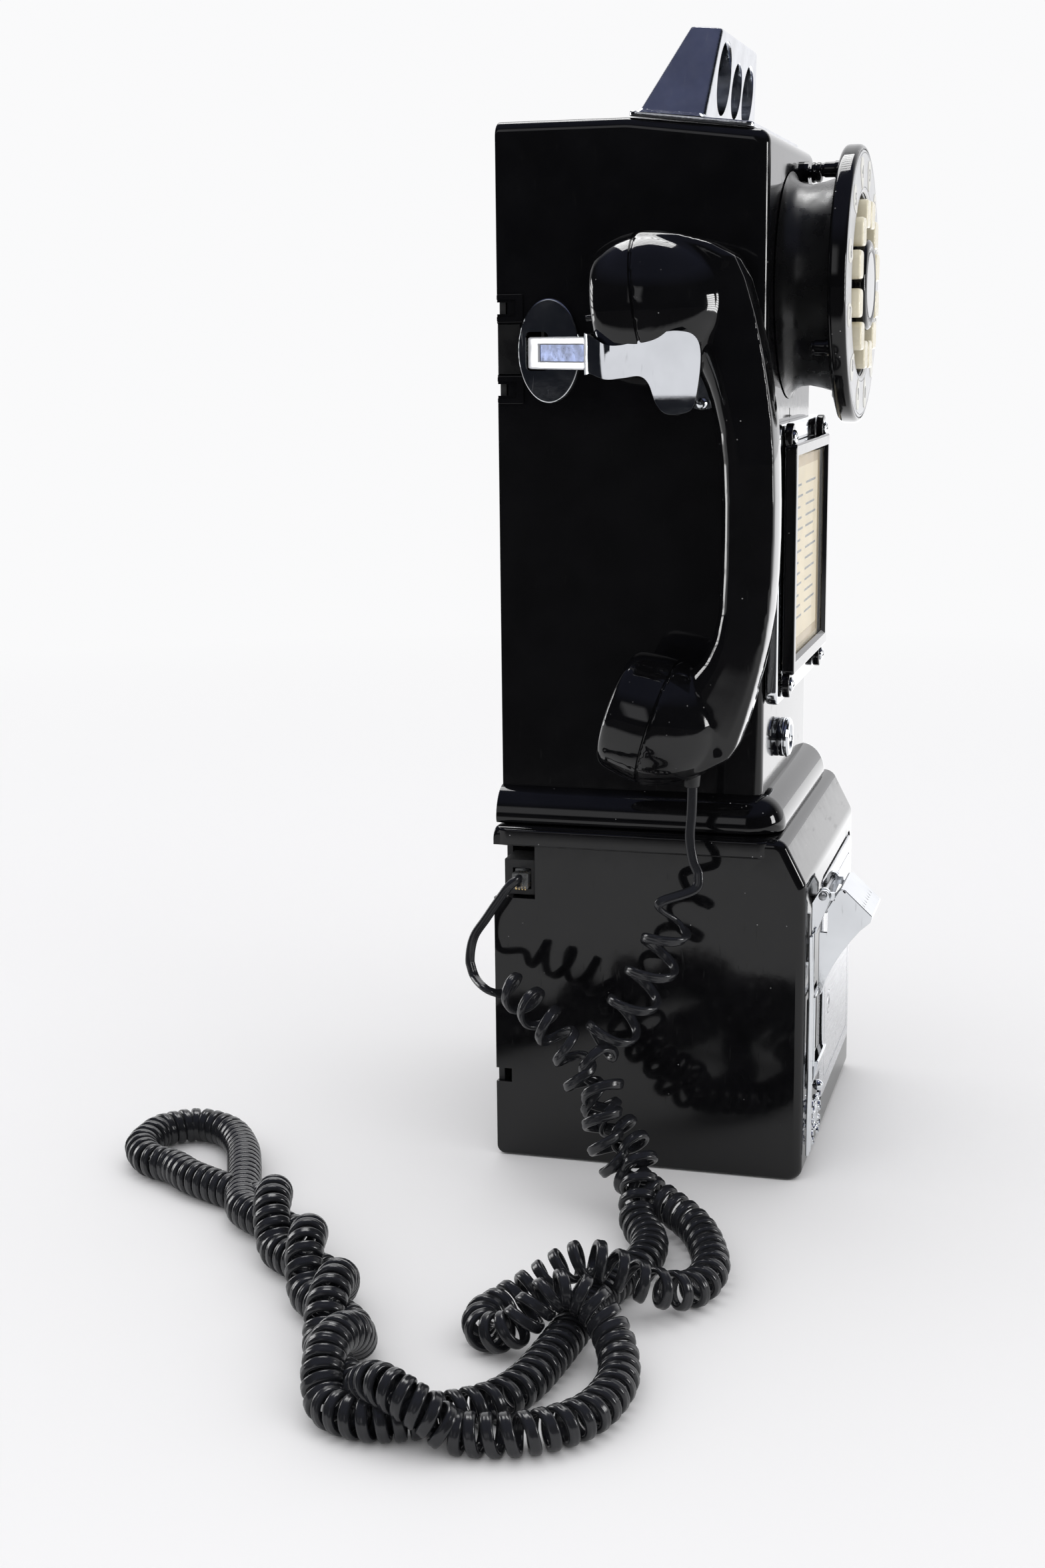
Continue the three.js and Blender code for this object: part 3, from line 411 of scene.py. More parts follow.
def combine(obj, tools, operation):
    for tool in tools:
        modifier = obj.modifiers.new("boolean", "BOOLEAN")
        modifier.operation = operation
        modifier.solver = "EXACT"
        modifier.object = tool
        bake(obj)
        bpy.data.objects.remove(tool)
    return obj


def cut(obj, *tools):
    return combine(obj, tools, "DIFFERENCE")


def join(obj, *tools):
    return combine(obj, tools, "UNION")


def merge(obj, *others):
    """Puts separate shells in one object."""
    bpy.ops.object.select_all(action="DESELECT")
    for other in (obj, *others):
        other.select_set(True)
    bpy.context.view_layer.objects.active = obj
    bpy.ops.object.join()
    return obj


def gather(name, pieces):
    """Merges the pieces under a new name."""
    merge(*pieces).name = name
    return pieces[0]


def shade(obj, angle):
    """Smooth shading that stays flat on the large faces and sharp above the angle."""
    obj.data.shade_smooth()
    obj.data.set_sharp_from_angle(angle=math.radians(angle))
    even = obj.modifiers.new("even", "WEIGHTED_NORMAL")
    even.keep_sharp = True
    even.weight = 80
    return bake(obj)


def dress(obj, material, body, slot, *nodes, angle=32):
    """Last step for a piece: shading, material, body and the CAD nodes it stands for; the slot is not used."""
    shade(obj, angle)
    obj.data.materials.clear()
    obj.data.materials.append(material)
    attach(obj, body)
    if nodes:
        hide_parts(*nodes)
    return obj


# ------------------------------------------------------------------ materials
def surface(name, colour, roughness, tint, wear, metallic=0.0, ior=1.5, tint_scale=60.0, grain=0.0,
            grain_scale=900.0, stretch=(1, 1, 1), dust=0.0, scratches=0.0, coat=0.0, alpha=1.0, transmission=0.0):
    """A Principled surface with uneven colour and gloss, fine grain, dust specks and hairline scratches."""
    made = bpy.data.materials.new(name)
    made.use_nodes = True
    tree = made.node_tree
    shader = tree.nodes["Principled BSDF"]
    for key, value in (("Metallic", metallic), ("IOR", ior), ("Coat Weight", coat), ("Coat Roughness", 0.05),
                       ("Alpha", alpha), ("Transmission Weight", transmission)):
        shader.inputs[key].default_value = value

    def node(kind, source=None, **inputs):
        new = tree.nodes.new(kind)
        for key, value in inputs.items():
            new.inputs[key].default_value = value
        if source:
            tree.links.new(source, new.inputs["Vector"])
        return new

    place = tree.nodes.new("ShaderNodeTexCoord").outputs["Object"]
    mapped = node("ShaderNodeMapping", place, Scale=stretch).outputs["Vector"]

    def noise(scale, detail=3.0):
        return node("ShaderNodeTexNoise", mapped, Scale=scale, Detail=detail).outputs["Fac"]

    dark = tuple(c * (1 - tint) for c in colour)
    light = tuple(min(1.0, c * (1 + 0.6 * tint)) for c in colour)
    tone = mix_node(tree, ramp_node(tree, noise(tint_scale), 0.35, 0.65), dark, light)
    gloss = ramp_node(tree, noise(tint_scale * 2.3, 4.0), 0.3, 0.7, roughness * (1 - wear), roughness * (1 + wear))
    if dust:
        cells = node("ShaderNodeTexVoronoi", place, Scale=210.0)
        pick = tree.nodes.new("ShaderNodeSeparateColor")
        tree.links.new(cells.outputs["Color"], pick.inputs["Color"])
        small = ramp_node(tree, cells.outputs["Distance"], 0.035, 0.075, 1.0, 0.0)
        chosen = ramp_node(tree, pick.outputs["Red"], 0.62, 0.95)
        amount = math_node(tree, "MULTIPLY", math_node(tree, "MULTIPLY", small, chosen), dust)
        tone = mix_node(tree, amount, tone, (0.5, 0.5, 0.5))
    if scratches:
        lines = node("ShaderNodeMapping", place, Scale=(35, 420, 60), Rotation=(0.5, 0.3, 0.9)).outputs["Vector"]
        hair = node("ShaderNodeTexNoise", lines, Scale=1.6, Detail=2.0).outputs["Fac"]
        gloss = math_node(tree, "ADD", gloss, ramp_node(tree, hair, 0.66, 0.74, 0.0, scratches))
    tree.links.new(tone, shader.inputs["Base Color"])
    tree.links.new(gloss, shader.inputs["Roughness"])
    if grain:
        bump = node("ShaderNodeBump", Strength=grain, Distance=0.0002)
        tree.links.new(noise(grain_scale, 4.0), bump.inputs["Height"])
        tree.links.new(bump.outputs["Normal"], shader.inputs["Normal"])
    return made


BLACK = surface("black_gloss", (0.0035, 0.0035, 0.004), 0.07, ior=1.47, tint=0.2, wear=0.35, grain=0.05,
                grain_scale=160, dust=0.75, scratches=0.1)
HANDSET_BLACK = surface("handset_black", (0.0035, 0.0035, 0.004), 0.06, ior=1.5, tint=0.2, wear=0.3, grain=0.03,
                        grain_scale=240, dust=0.4, scratches=0.12)
MATTE = surface("black_matte", (0.02, 0.02, 0.021), 0.55, tint=0.3, wear=0.2, grain=0.5)
CHROME = surface("chrome", (0.82, 0.84, 0.87), 0.07, metallic=1, tint=0.06, wear=0.6, grain=0.05, grain_scale=420,
                 scratches=0.14)
SATIN = surface("satin", (0.74, 0.745, 0.765), 0.3, metallic=1, tint=0.08, wear=0.25, grain=0.2, grain_scale=300,
                stretch=(1, 1, 14), scratches=0.1)
CREAM = surface("key_cream", (0.78, 0.72, 0.55), 0.28, tint=0.1, wear=0.2, grain=0.1, grain_scale=1400, coat=0.2)
LABEL = surface("label_white", (0.8, 0.79, 0.74), 0.5, tint=0.05, wear=0.2, grain=0.1, grain_scale=2600)
GOLD_INK = surface("gold_ink", (0.46, 0.33, 0.13), 0.42, metallic=0.35, tint=0.15, wear=0.2, grain=0.1)
CARD = surface("card", (0.84, 0.72, 0.48), 0.6, tint=0.06, wear=0.15, grain=0.25, grain_scale=3000)
STEEL = surface("steel", (0.5, 0.51, 0.53), 0.28, metallic=1, tint=0.15, wear=0.3, grain=0.2, grain_scale=500,
                stretch=(1, 1, 10), scratches=0.1)
BOARD = surface("board", (0.05, 0.19, 0.08), 0.4, tint=0.3, tint_scale=300, wear=0.2, grain=0.3)
GREY = surface("grey", (0.16, 0.165, 0.17), 0.5, tint=0.15, wear=0.2, grain=0.4)
SOFT_BLACK = surface("dial_black", (0.006, 0.006, 0.0065), 0.3, tint=0.25, wear=0.4, grain=0.04, grain_scale=200,
                     dust=0.5, scratches=0.1)
CAST = surface("chrome_cast", (0.64, 0.655, 0.69), 0.1, metallic=1, tint=0.1, tint_scale=90, wear=0.6, grain=0.35,
               grain_scale=1500, dust=0.3, scratches=0.1)
# Dark blue metal for the recess in the hook's beam: a painted reflection of the dark navy room, not the chrome's own
# colour.
PAINTED_REFLECTION_NAVY = surface("chrome_recess_painted_reflection", (0.06, 0.075, 0.13), 0.2, metallic=1, tint=0.4, tint_scale=260, wear=0.5, grain=0.3,
               grain_scale=1500)
BRIGHT = surface("chrome_worn", (0.86, 0.87, 0.89), 0.14, metallic=0.35, tint=0.08, wear=0.5, grain=0.06,
                 grain_scale=420, scratches=0.14)
SILVER = surface("dial_silver", (0.62, 0.625, 0.635), 0.35, tint=0.03, wear=0.1, grain=0.02)
DOME = surface("hub_label", (0.24, 0.24, 0.245), 0.12, tint=0.1, wear=0.2, grain=0.02, coat=0.6)
NUMERAL = surface("numeral_grey", (0.26, 0.26, 0.28), 0.45, tint=0.1, wear=0.1, grain=0.02)
PANE = surface("pane_clear", (0.9, 0.92, 0.93), 0.05, tint=0.02, wear=0.3, alpha=0.12)
CLEAR = surface("clear", (0.94, 0.96, 0.97), 0.06, ior=1.45, tint=0.02, wear=0.4, transmission=0.92, grain=0.05)
CORD = surface("cord_black", (0.0135, 0.014, 0.0165), 0.22, tint=0.12, tint_scale=60, wear=0.12, grain=0.008,
               grain_scale=500)
COPPER = surface("contact_gold", (0.8, 0.58, 0.25), 0.25, metallic=1, tint=0.1, wear=0.2, grain=0.1)


# ------------------------------------------------------------------ cord
HANDSET_LEAD = [
    (-92, -21.8, 176), (-92.2, -22, 166), (-92.6, -21.8, 157), (-93.2, -21.4, 148), (-94, -23, 139),
    (-95, -25.6, 133), (-96.4, -24.8, 128.6),
]
PLUG_LEAD = [
    (-78.4, 54, 122), (-82, 52.6, 124), (-87, 52, 125.4), (-90, 54.5, 123.6), (-91, 58.6, 118), (-92, 64.4, 109.3),
    (-93, 69.2, 101.9), (-93.8, 70.7, 95.7), (-94.8, 70.6, 89.6), (-95.5, 68.8, 85.5),
]
HANDSET_COIL = [(-98.6, -19.6, 123), (-101, -15.4, 112), (-103.4, -9.8, 99), (-105, -3.4, 86.4), (-106, 4, 74)]
PLUG_COIL = [(-97, 63, 84.6), (-99.6, 53, 83), (-105, 43.4, 79), (-112, 33.4, 73)]
DROP = [(-111, 17.8, 60), (-116, 11.4, 46), (-122, 3.4, 32), (-128, -6.4, 20)]
OUTER_LOOP = [
    (-148, -34, 8.4), (-165, -43, 7.4), (-186, -48, 7.4), (-204, -44, 8), (-216, -33, 13.5), (-220, -21, 20.5),
    (-221, -12, 23.8), (-221, -3, 20.5), (-223, 8, 12.5), (-231, 18, 7.4), (-243, 22, 7.4), (-254, 17, 8),
    (-256, 7, 11.5), (-250, -2, 20.5), (-247, -10, 23.8), (-248, -18, 20.5), (-254, -27, 12.5), (-268, -33, 7.4),
    (-286, -34, 7.4), (-303, -29, 7.4), (-317, -14, 7.4),
]
INNER_RUN = [
    (-147, -12, 8.4), (-166, -21, 7.4), (-186, -22, 7.4), (-204, -16, 7.4), (-224, -12, 7.4), (-247, -10, 7.4),
    (-268, -8, 7.4), (-286, -5, 7.4), (-300, 1, 7.4),
]
PAIR_RUN = [
    (-316, 11, 7.4), (-320, 24, 7.4), (-319, 37, 7.4), (-311, 49, 7.4), (-297, 57, 7.4), (-280, 62, 7.4),
    (-262, 69, 7.4), (-243, 80, 7.4), (-224, 93, 7.4), (-205, 108, 7.4), (-186, 124, 7.4), (-167, 140, 7.4),
]
END_OUT = [
    (-135, 158, 7.4), (-114, 168, 7.4), (-98, 181, 7.4), (-93, 197, 7.4), (-103, 209.6, 7.4), (-108, 211, 7.4),
]
END_BACK = [
    (-150, 174, 7.4), (-141, 187, 7.4), (-136, 200, 7.4), (-124, 209.8, 7.4), (-118, 211, 7.4), (-113, 211, 7.4),
]


def flow(points, step):
    """Evenly spaced points on the centripetal Catmull-Rom curve through a list."""
    knots = [Vector(p) for p in points]
    knots = [2 * knots[0] - knots[1], *knots, 2 * knots[-1] - knots[-2]]
    fine = []
    for p0, p1, p2, p3 in zip(knots, knots[1:], knots[2:], knots[3:]):
        t1 = math.sqrt((p1 - p0).length)
        t2 = t1 + math.sqrt((p2 - p1).length)
        t3 = t2 + math.sqrt((p3 - p2).length)
        for k in range(24):
            t = t1 + (t2 - t1) * k / 24
            a1 = p0 * ((t1 - t) / t1) + p1 * (t / t1)
            a2 = p1 * ((t2 - t) / (t2 - t1)) + p2 * ((t - t1) / (t2 - t1))
            a3 = p2 * ((t3 - t) / (t3 - t2)) + p3 * ((t - t2) / (t3 - t2))
            b1 = a1 * ((t2 - t) / t2) + a2 * (t / t2)
            b2 = a2 * ((t3 - t) / (t3 - t1)) + a3 * ((t - t1) / (t3 - t1))
            fine.append(b1 * ((t2 - t) / (t2 - t1)) + b2 * ((t - t1) / (t2 - t1)))
    fine.append(knots[-2])
    even, left = [fine[0]], step
    for a, b in zip(fine, fine[1:]):
        length = (b - a).length
        done = 0.0
        while length - done >= left:
            done += left
            even.append(a.lerp(b, done / length))
            left = step
        left -= length - done
    return even


def wound(spine, side, start_angle, half_turn, spacing, lift):
    """One strand of a pair that winds round a spine; with lift it stays on the surface."""
    step = 6.0
    line = flow(spine, step)
    strand = []
    for i, centre in enumerate(line):
        along = (line[min(i + 1, len(line) - 1)] - line[max(i - 1, 0)]).normalized()
        across = Vector((-along.y, along.x, 0)).normalized()
        above = along.cross(across).normalized()
        angle = start_angle + math.pi * step * i / half_turn
        spot = centre + (across * math.cos(angle) + above * math.sin(angle)) * side * spacing / 2
        if lift:
            spot.z += spacing / 2 * abs(math.sin(angle))
        strand.append(tuple(spot))
    return strand


def between(table, place):
    """Reads a value from a list of (place, value) pairs."""
    for (a, low), (b, high) in zip(table, table[1:]):
        if place <= b:
            return low + (high - low) * (place - a) / (b - a)
    return table[-1][1]


# Distance between turns and radius of the coil's centre line, by distance from the coil's end.
HANDSET_PITCH = [
    (0, 13.6), (62, 14.4), (80, 12.6), (112, 9), (150, 7.4), (320, 6.9), (430, 5.6), (560, 4.8), (700, 4.5),
]
HANDSET_RADIUS = [(0, 8.7), (60, 8.7), (95, 7.2), (140, 6.1), (200, 6.0)]
PLUG_PITCH = [(0, 12), (50, 11.4), (80, 9.2), (120, 6.8), (200, 5.6), (340, 5), (560, 4.8), (700, 4.5)]
PLUG_RADIUS = [(0, 6.9), (60, 6.8), (120, 6.1), (200, 6.0)]
STEPS_PER_TURN, FIRST_ANGLE = 26, 2.6
COIL_STEP, LEAD_STEP = 0.3, 0.8
JOINED, EASE_REACH, EASE_ROUNDS = 8, 14, 24  # points at each end of a lead that run over into the coil
CORD_WIDTH, CORD_CLEARANCE = 3.3, 0.15
CORD_EXIT, CORD_END = (-92, -21.8, 174), (-92, 44.3, 115.1)
WIRE_SECTION = [
    (2.05, 0), (1.88, 0.66), (1.25, 1.14), (0.45, 1.2), (0, 1.1), (-0.45, 1.2), (-1.25, 1.14), (-1.88, 0.66),
    (-2.05, 0), (-1.88, -0.66), (-1.25, -1.14), (-0.45, -1.2), (0, -1.1), (0.45, -1.2), (1.25, -1.14), (1.88, -0.66),
]


def coil_line(spine, step):
    """The helix round a spine of evenly spaced points, with the spine point each turn hangs on."""
    total = step * (len(spine) - 1)
    sides = []
    side = Vector(RIGHT)
    for i in range(len(spine)):
        along = (spine[min(i + 6, len(spine) - 1)] - spine[max(i - 6, 0)]).normalized()
        side = (side - along * side.dot(along)).normalized()
        sides.append((side.copy(), along.cross(side)))
    place, angle, coil = 0.0, FIRST_ANGLE, []
    while place < total:
        i = min(int(place / step), len(spine) - 2)
        part = place / step - i
        spot = spine[i].lerp(spine[i + 1], part)
        side, other = sides[i]
        if place < total / 2:
            pitch, radius = between(HANDSET_PITCH, place), between(HANDSET_RADIUS, place)
        else:
            pitch, radius = between(PLUG_PITCH, total - place), between(PLUG_RADIUS, total - place)
        pitch *= 1 + 0.1 * math.sin(place / 31.0) + 0.06 * math.sin(place / 9.0)
        coil.append((spot + (side * math.cos(angle) + other * math.sin(angle)) * radius, spot))
        angle += math.tau / STEPS_PER_TURN
        place += pitch / STEPS_PER_TURN
    return coil


def eased(line, middle):
    """Smooths the run between a lead and the coil."""
    spots = [spot.copy() for spot, _ in line]
    for _ in range(EASE_ROUNDS):
        for i in range(max(1, middle - EASE_REACH), min(len(line) - 1, middle + EASE_REACH)):
            share = 0.5 * (1 - abs(i - middle) / EASE_REACH)
            spots[i] = spots[i].lerp((spots[i - 1] + spots[i + 1]) / 2, share)
    return [(spot, centre) for spot, (_, centre) in zip(spots, line)]


def make_cord():
    """The lead from the handset, the coil with its two strands wound round each other, and the lead to the plug."""
    down = dict(start_angle=0.3, half_turn=36, spacing=9.5, lift=False)
    pair = dict(start_angle=0.0, half_turn=42, spacing=11.6, lift=True)
    outward = HANDSET_COIL + wound(DROP, 1, **down) + OUTER_LOOP + wound(PAIR_RUN, 1, **pair) + END_BACK
    inward = PLUG_COIL + wound(DROP, -1, **down) + INNER_RUN + wound(PAIR_RUN, -1, **pair) + END_OUT
    coil = coil_line(flow(outward + inward[::-1], COIL_STEP), COIL_STEP)
    lead_in, lead_out = flow(HANDSET_LEAD, LEAD_STEP), flow(PLUG_LEAD, LEAD_STEP)
    near, far = JOINED, 2 * JOINED
    first = flow([lead_in[-near], lead_in[-1], coil[near][0], coil[far][0]], LEAD_STEP)
    last = flow([lead_out[-near], lead_out[-1], coil[-near - 1][0], coil[-far - 1][0]], LEAD_STEP)
    before, after = lead_in[:-near] + first, last[::-1] + lead_out[:-near][::-1]
    line = [(p, None) for p in before] + coil[far + 1:-far - 1] + [(p, None) for p in after]
    line = eased(eased(line, len(before)), len(line) - len(after))
    sides = len(WIRE_SECTION)
    vertices, faces, path = [], [], []
    broad = Vector(BACK)
    for i, (spot, centre) in enumerate(line):
        along = (line[min(i + 1, len(line) - 1)][0] - line[max(i - 1, 0)][0]).normalized()
        if centre is not None:
            radial = (spot - centre).normalized()
            broad = broad.lerp(along.cross(radial), 0.25)
        broad = (broad - along * broad.dot(along)).normalized()
        thin = along.cross(broad)
        ring = [spot + broad * u + thin * v for u, v in WIRE_SECTION]
        rise = Vector((0, 0, max(0.0, CORD_CLEARANCE - min(p.z for p in ring))))
        vertices += [tuple(p + rise) for p in ring]
        path.append(tuple((spot + rise) * MM))
    for i in range(len(line) - 1):
        for k in range(sides):
            j = (k + 1) % sides
            faces.append((i * sides + k, i * sides + j, (i + 1) * sides + j, (i + 1) * sides + k))
    faces += [tuple(range(sides))[::-1], tuple(range(len(vertices) - sides, len(vertices)))]
    cord = new_piece("cord", vertices, faces)
    face_outwards(cord)
    cord.data.shade_smooth()
    cord.data.materials.append(CORD)
    length = sum((Vector(b) - Vector(a)).length for a, b in zip(path, path[1:]))
    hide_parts("cord_lead_handset", "cord_coil_a", "cord_coil_b", "cord_lead_plug")
    Vector(CORD_END) * MM
    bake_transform(cord)
    Vector(CORD_EXIT) * MM
    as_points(path)


add_camera()
add_studio()
make_cord()


# ------------------------------------------------------------------ base
def make_base_housing():
    def outline(d):
        corners = [(d - 65.5, 0.4 * d), (65.5, 0.4 * d), (65.5, 145 - d), (0.6 * d - 56, 145 - d),
                   (d - 65.5, 126.5 - 0.3 * d)]
        return rounded(corners, [5, 3, 2, 6 - 0.8 * d, 8 - 0.6 * d], 8)

    shell = rounded_slab("base_housing", outline, 76, 3.6)
    lip = bevel(prism("lip", rectangle(-76.9, 76.9, -51.5, 65.4, 6), "floor", 137, 7.2), 0.9, 3, 50)
    hollow = prism("hollow", [(-63, 3), (75, 3), (75, 142.5), (-54.4, 142.5), (-63, 125.8)], "side", -73.5, 147)
    underside = box("underside", -73.5, 73.5, -63, 70, -1, 4)
    doorway = prism("doorway", rectangle(-27.4, 68.3, 16.4, 118.1, 5), "front", 62.5, 4)
    return_hole = box("return_hole", -67, -37, -67, -62, 46, 76)
    coin_hole = box("coin_hole", -46, 46, -22, 0, 141, 147)
    wire_hole = box("wire_hole", -60, -48, 30, 44, 141, 147)
    jack_notch = box("jack_notch", -80, -73, 47.7, 70, 114.5, 137.2)
    corner_notch = box("corner_notch", -80, -73, 58.7, 70, 33.2, 39.2)
    seat = box("seat", -58.6, 58.6, 62.3, 70, 141, 147)
    slots = [box("louvre", 73, 80, 58.9, 70, z, z + 2.2) for z in (100, 104.4)]
    shell = cut(join(shell, lip), hollow, underside, doorway, return_hole, coin_hole, wire_hole, jack_notch,
                corner_notch, seat, *slots)
    lugs = [bevel(box("lug", 60.5, 67.6, -65.1, -60, z, z + 5), 0.5, 2) for z in (118.5, 11)]
    pin_hole = rod("pin_hole", (*DOOR_PIN, 12), UP, 1.4, 110)
    shell = cut(join(shell, *lugs), pin_hole)
    dress(shell, BLACK, "housing", "black_gloss", "base_housing")


def make_plates():
    bottom = bevel(prism("bottom_plate", rectangle(-73.2, 73.2, -62.7, 62.1, 3), "floor", 0, 2.6), 0.5, 2)
    pads = [bevel(rod("pad", (x, y, 0), UP, 7, 0.6), 0.2, 2) for x in (-60, 60) for y in (-50, 50)]
    merge(bottom, *pads)
    dress(bottom, MATTE, "housing", "black_matte", "bottom_plate")
    tee = [(-73, 3), (73, 3), (73, 141.9), (57.5, 141.9), (57.5, 425), (-57.5, 425), (-57.5, 141.9), (-73, 141.9)]
    back = prism("back_plate", rounded(tee, [3, 3, 2, 0, 3, 3, 0, 2]), "front", -65.3, 2.6)
    keyholes = []
    for z in (90, 340):
        keyholes += [rod("hole", (0, 70, z), FRONT, 5, 12),
                     prism("slot", rectangle(-2.4, 2.4, z, z + 12, 2.3), "front", -70, 12)]
    back = cut(back, box("jack_gap", -80, -56, 60, 70, 110, 139), *keyholes)
    back = bevel(back, 0.4, 2, 60)
    places = [(-50, 150), (50, 150), (-50, 416), (50, 416), (-66, 12), (66, 12), (66, 132), (-50, 280), (50, 280)]
    screws = [screw("screw", (x, 65.3, z), BACK, 3.2) for x, z in places]
    ribs = [bevel(prism("rib", rectangle(-44, 44, z, z + 3, 1.4), "front", -65.9, 0.7), 0.25, 2)
            for z in (180, 190, 200, 370, 380, 390)]
    merge(back, *ribs)
    dress(back, MATTE, "housing", "black_matte", "back_plate")
    dress(gather("back_screws", screws), STEEL, "housing", "steel")


def screw(name, origin, direction, radius):
    """A domed head with a cross recess."""
    axis, start = Vector(direction), Vector(origin)
    dome = [(0, -0.3), (radius, -0.3), (radius, 0.25)]
    dome += [(radius * math.cos(a), 0.25 + radius * 0.42 * math.sin(a)) for a in (0.2, 0.45, 0.75, 1.05, 1.3)]
    dome.append((0, 0.25 + radius * 0.42))
    head = lathe(name, dome, start, axis, 32)
    turn = Vector(UP).rotation_difference(axis)
    top = start + axis * (0.25 + radius * 0.1)
    for angle in (0.4, 0.4 + math.pi / 2):
        blade = new_piece("blade", *cross_blade(radius * 0.62, radius * 0.14, radius, angle))
        blade.data.transform(Matrix.Translation(top * MM) @ turn.to_matrix().to_4x4())
        head = cut(head, blade)
    return head


def cross_blade(length, width, height, angle):
    corners = [(-length, -width), (length, -width), (length, width), (-length, width)]
    c, s = math.cos(angle), math.sin(angle)
    turned = [(x * c - y * s, x * s + y * c) for x, y in corners]
    vertices = [(x, y, 0) for x, y in turned] + [(x, y, height) for x, y in turned]
    faces = [(3, 2, 1, 0), (4, 5, 6, 7), (0, 1, 5, 4), (1, 2, 6, 5), (2, 3, 7, 6), (3, 0, 4, 7)]
    return vertices, faces


# ------------------------------------------------------------------ upper housing
QUARTER = [i / 12 * math.pi / 2 for i in range(13)]


def collar_ring(z, out):
    side = 59.5 + out
    front = -43.5 - out * 0.9
    radius = 3 + out
    points = [(side, 65.5, z), (side, front + radius, z)]
    for a in QUARTER[1:]:
        points.append((side - radius + radius * math.cos(a), front + radius - radius * math.sin(a), z))
    return [(-x, y, z) for x, y, z in points] + points[::-1]


def make_upper_housing():
    def outline(d):
        corners = [(d - 44.5, 145.4), (65.5, 145.4), (65.5, 428.5 - d), (12, 428.5 - d), (d - 44.5, 422 - d)]
        return rounded(corners, [0, 0, 1.5, 25, 5.5 - 0.6 * d], 8)

    shell = rounded_slab("upper_housing", outline, 60.5, 4.2)
    rings = [collar_ring(145.4, 10.9), collar_ring(145.9, 11.6), collar_ring(147.4, 12)]
    rings += [collar_ring(147.4 + 12.6 * math.sin(a), 12 * math.cos(a)) for a in QUARTER[1:]]
    collar = loft("collar", rings)
    inner = rounded([(-42, 120), (75, 120), (75, 426), (12, 426), (-42, 419.5)], [0, 0, 0, 20, 3])
    hollow = prism("hollow", inner, "side", -58, 116)
    boss = rod("boss", (RELEASE_X, -43.5, RELEASE_Z), FRONT, 4.7, 3.2)
    clips = [bevel(prism("clip", rectangle(54.4, 65.4, z - 5.6, z + 5.6, 0.8), "side", -61.6, 3), 0.3, 2)
             for z in CLIP_HEIGHTS]
    slots = [box("clip_slot", -64, -57, 61.2, 70, z - 2.3, z + 2.3) for z in CLIP_HEIGHTS]
    grooves = [box("clip_pocket", -64, -60.3, 57.4, 70, z - 3.4, z + 3.4) for z in CLIP_HEIGHTS]
    grooves.append(box("panel_seat", -64, -59.7, 55.6, 70, 329.6, 350))
    dial_hole = rod("dial_hole", (0, -46, DIAL_Z), BACK, 12, 6)
    lock_hole = rod("lock_hole", (HOUSING_LOCK_X, -46, HOUSING_LOCK_Z), BACK, 7, 6)
    stem_hole = rod("stem_hole", (RELEASE_X, -50, RELEASE_Z), BACK, 2.6, 12)
    light_hole = box("light_hole", -0.2, 1.3, -46, -40, 310.2, 314.2)
    hook_hole = box("hook_hole", -64, -57, 42.5, 56.5, 329.8, 348.2)
    coin_slots = [box("coin_slot", x - r, x + r, -14, -8, 415, 440) for x, _, r in COIN_HOLES]
    shell = join(shell, collar, boss, *clips)
    shell = cut(shell, hollow, *slots, *grooves, dial_hole, lock_hole, stem_hole, light_hole, hook_hole, *coin_slots)
    dress(shell, BLACK, "housing", "black_gloss", "upper_housing")
    panel = bevel(box("clip_panel", -60.3, -59.6, 56, 65.3, 330, 349.6), 0.2, 2)
    dress(panel, SOFT_BLACK, "housing", "black_matte")


# ------------------------------------------------------------------ coin path
def gauge_ring(half, front, rear, z, rise, corner=2.2):
    outline = rounded([(half, front), (half, rear), (-half, rear), (-half, front)], corner, 4)
    return [(x, y, z + rise * (y - front) / (rear - front)) for x, y in outline]


def make_coin_gauge():
    block = loft("coin_gauge", [
        gauge_ring(58, -18.6, 8.8, 426.4, 2.6),
        gauge_ring(41.2, -22.3, -8.6, 460.9, 1.2),
        gauge_ring(40.6, -22.0, -9.2, 462.0, 1.2),
        gauge_ring(39.8, -21.0, -10.2, 462.5, 1.0, 1.2),
    ])
    flange = bevel(prism("flange", rectangle(-58.8, 58.8, -25, 25, 3), "floor", 0, 2.2), 0.7, 3)
    tip = Matrix.Rotation(math.radians(6.8), 4, "X")
    flange.data.transform(Matrix.Translation(Vector((0, -13, 425.9)) * MM) @ tip)
    fillet = loft("fillet", [gauge_ring(59.4, -19.4, 9, 427.4, 3), gauge_ring(58.2, -18.4, 7.6, 428.6, 3)])
    gauge = join(block, flange, fillet)
    tools = []
    for x, z, r in COIN_HOLES:
        bore = [(0, 0), (r + 0.9, 0), (r + 0.9, 9.6), (r + 0.3, 10.3), (r, 11), (r, 18.5), (0, 18.5)]
        tools.append(lathe("bore", bore, (x, -31.5, z), BACK, 72))
        tools.append(box("coin_slit", x - r + 1, x + r - 1, -13.8, -9, 415, z + 3))
    gauge = cut(gauge, *tools)
    dress(gauge, CAST, "housing", "chrome", "coin_gauge", angle=28)


def hopper(name, front, rear, levels):
    """A funnel that goes through a rectangle from right to left at each level."""
    return loft(name, [[(a, front, z), (a, rear, z), (b, rear, z), (b, front, z)] for a, b, z in levels])


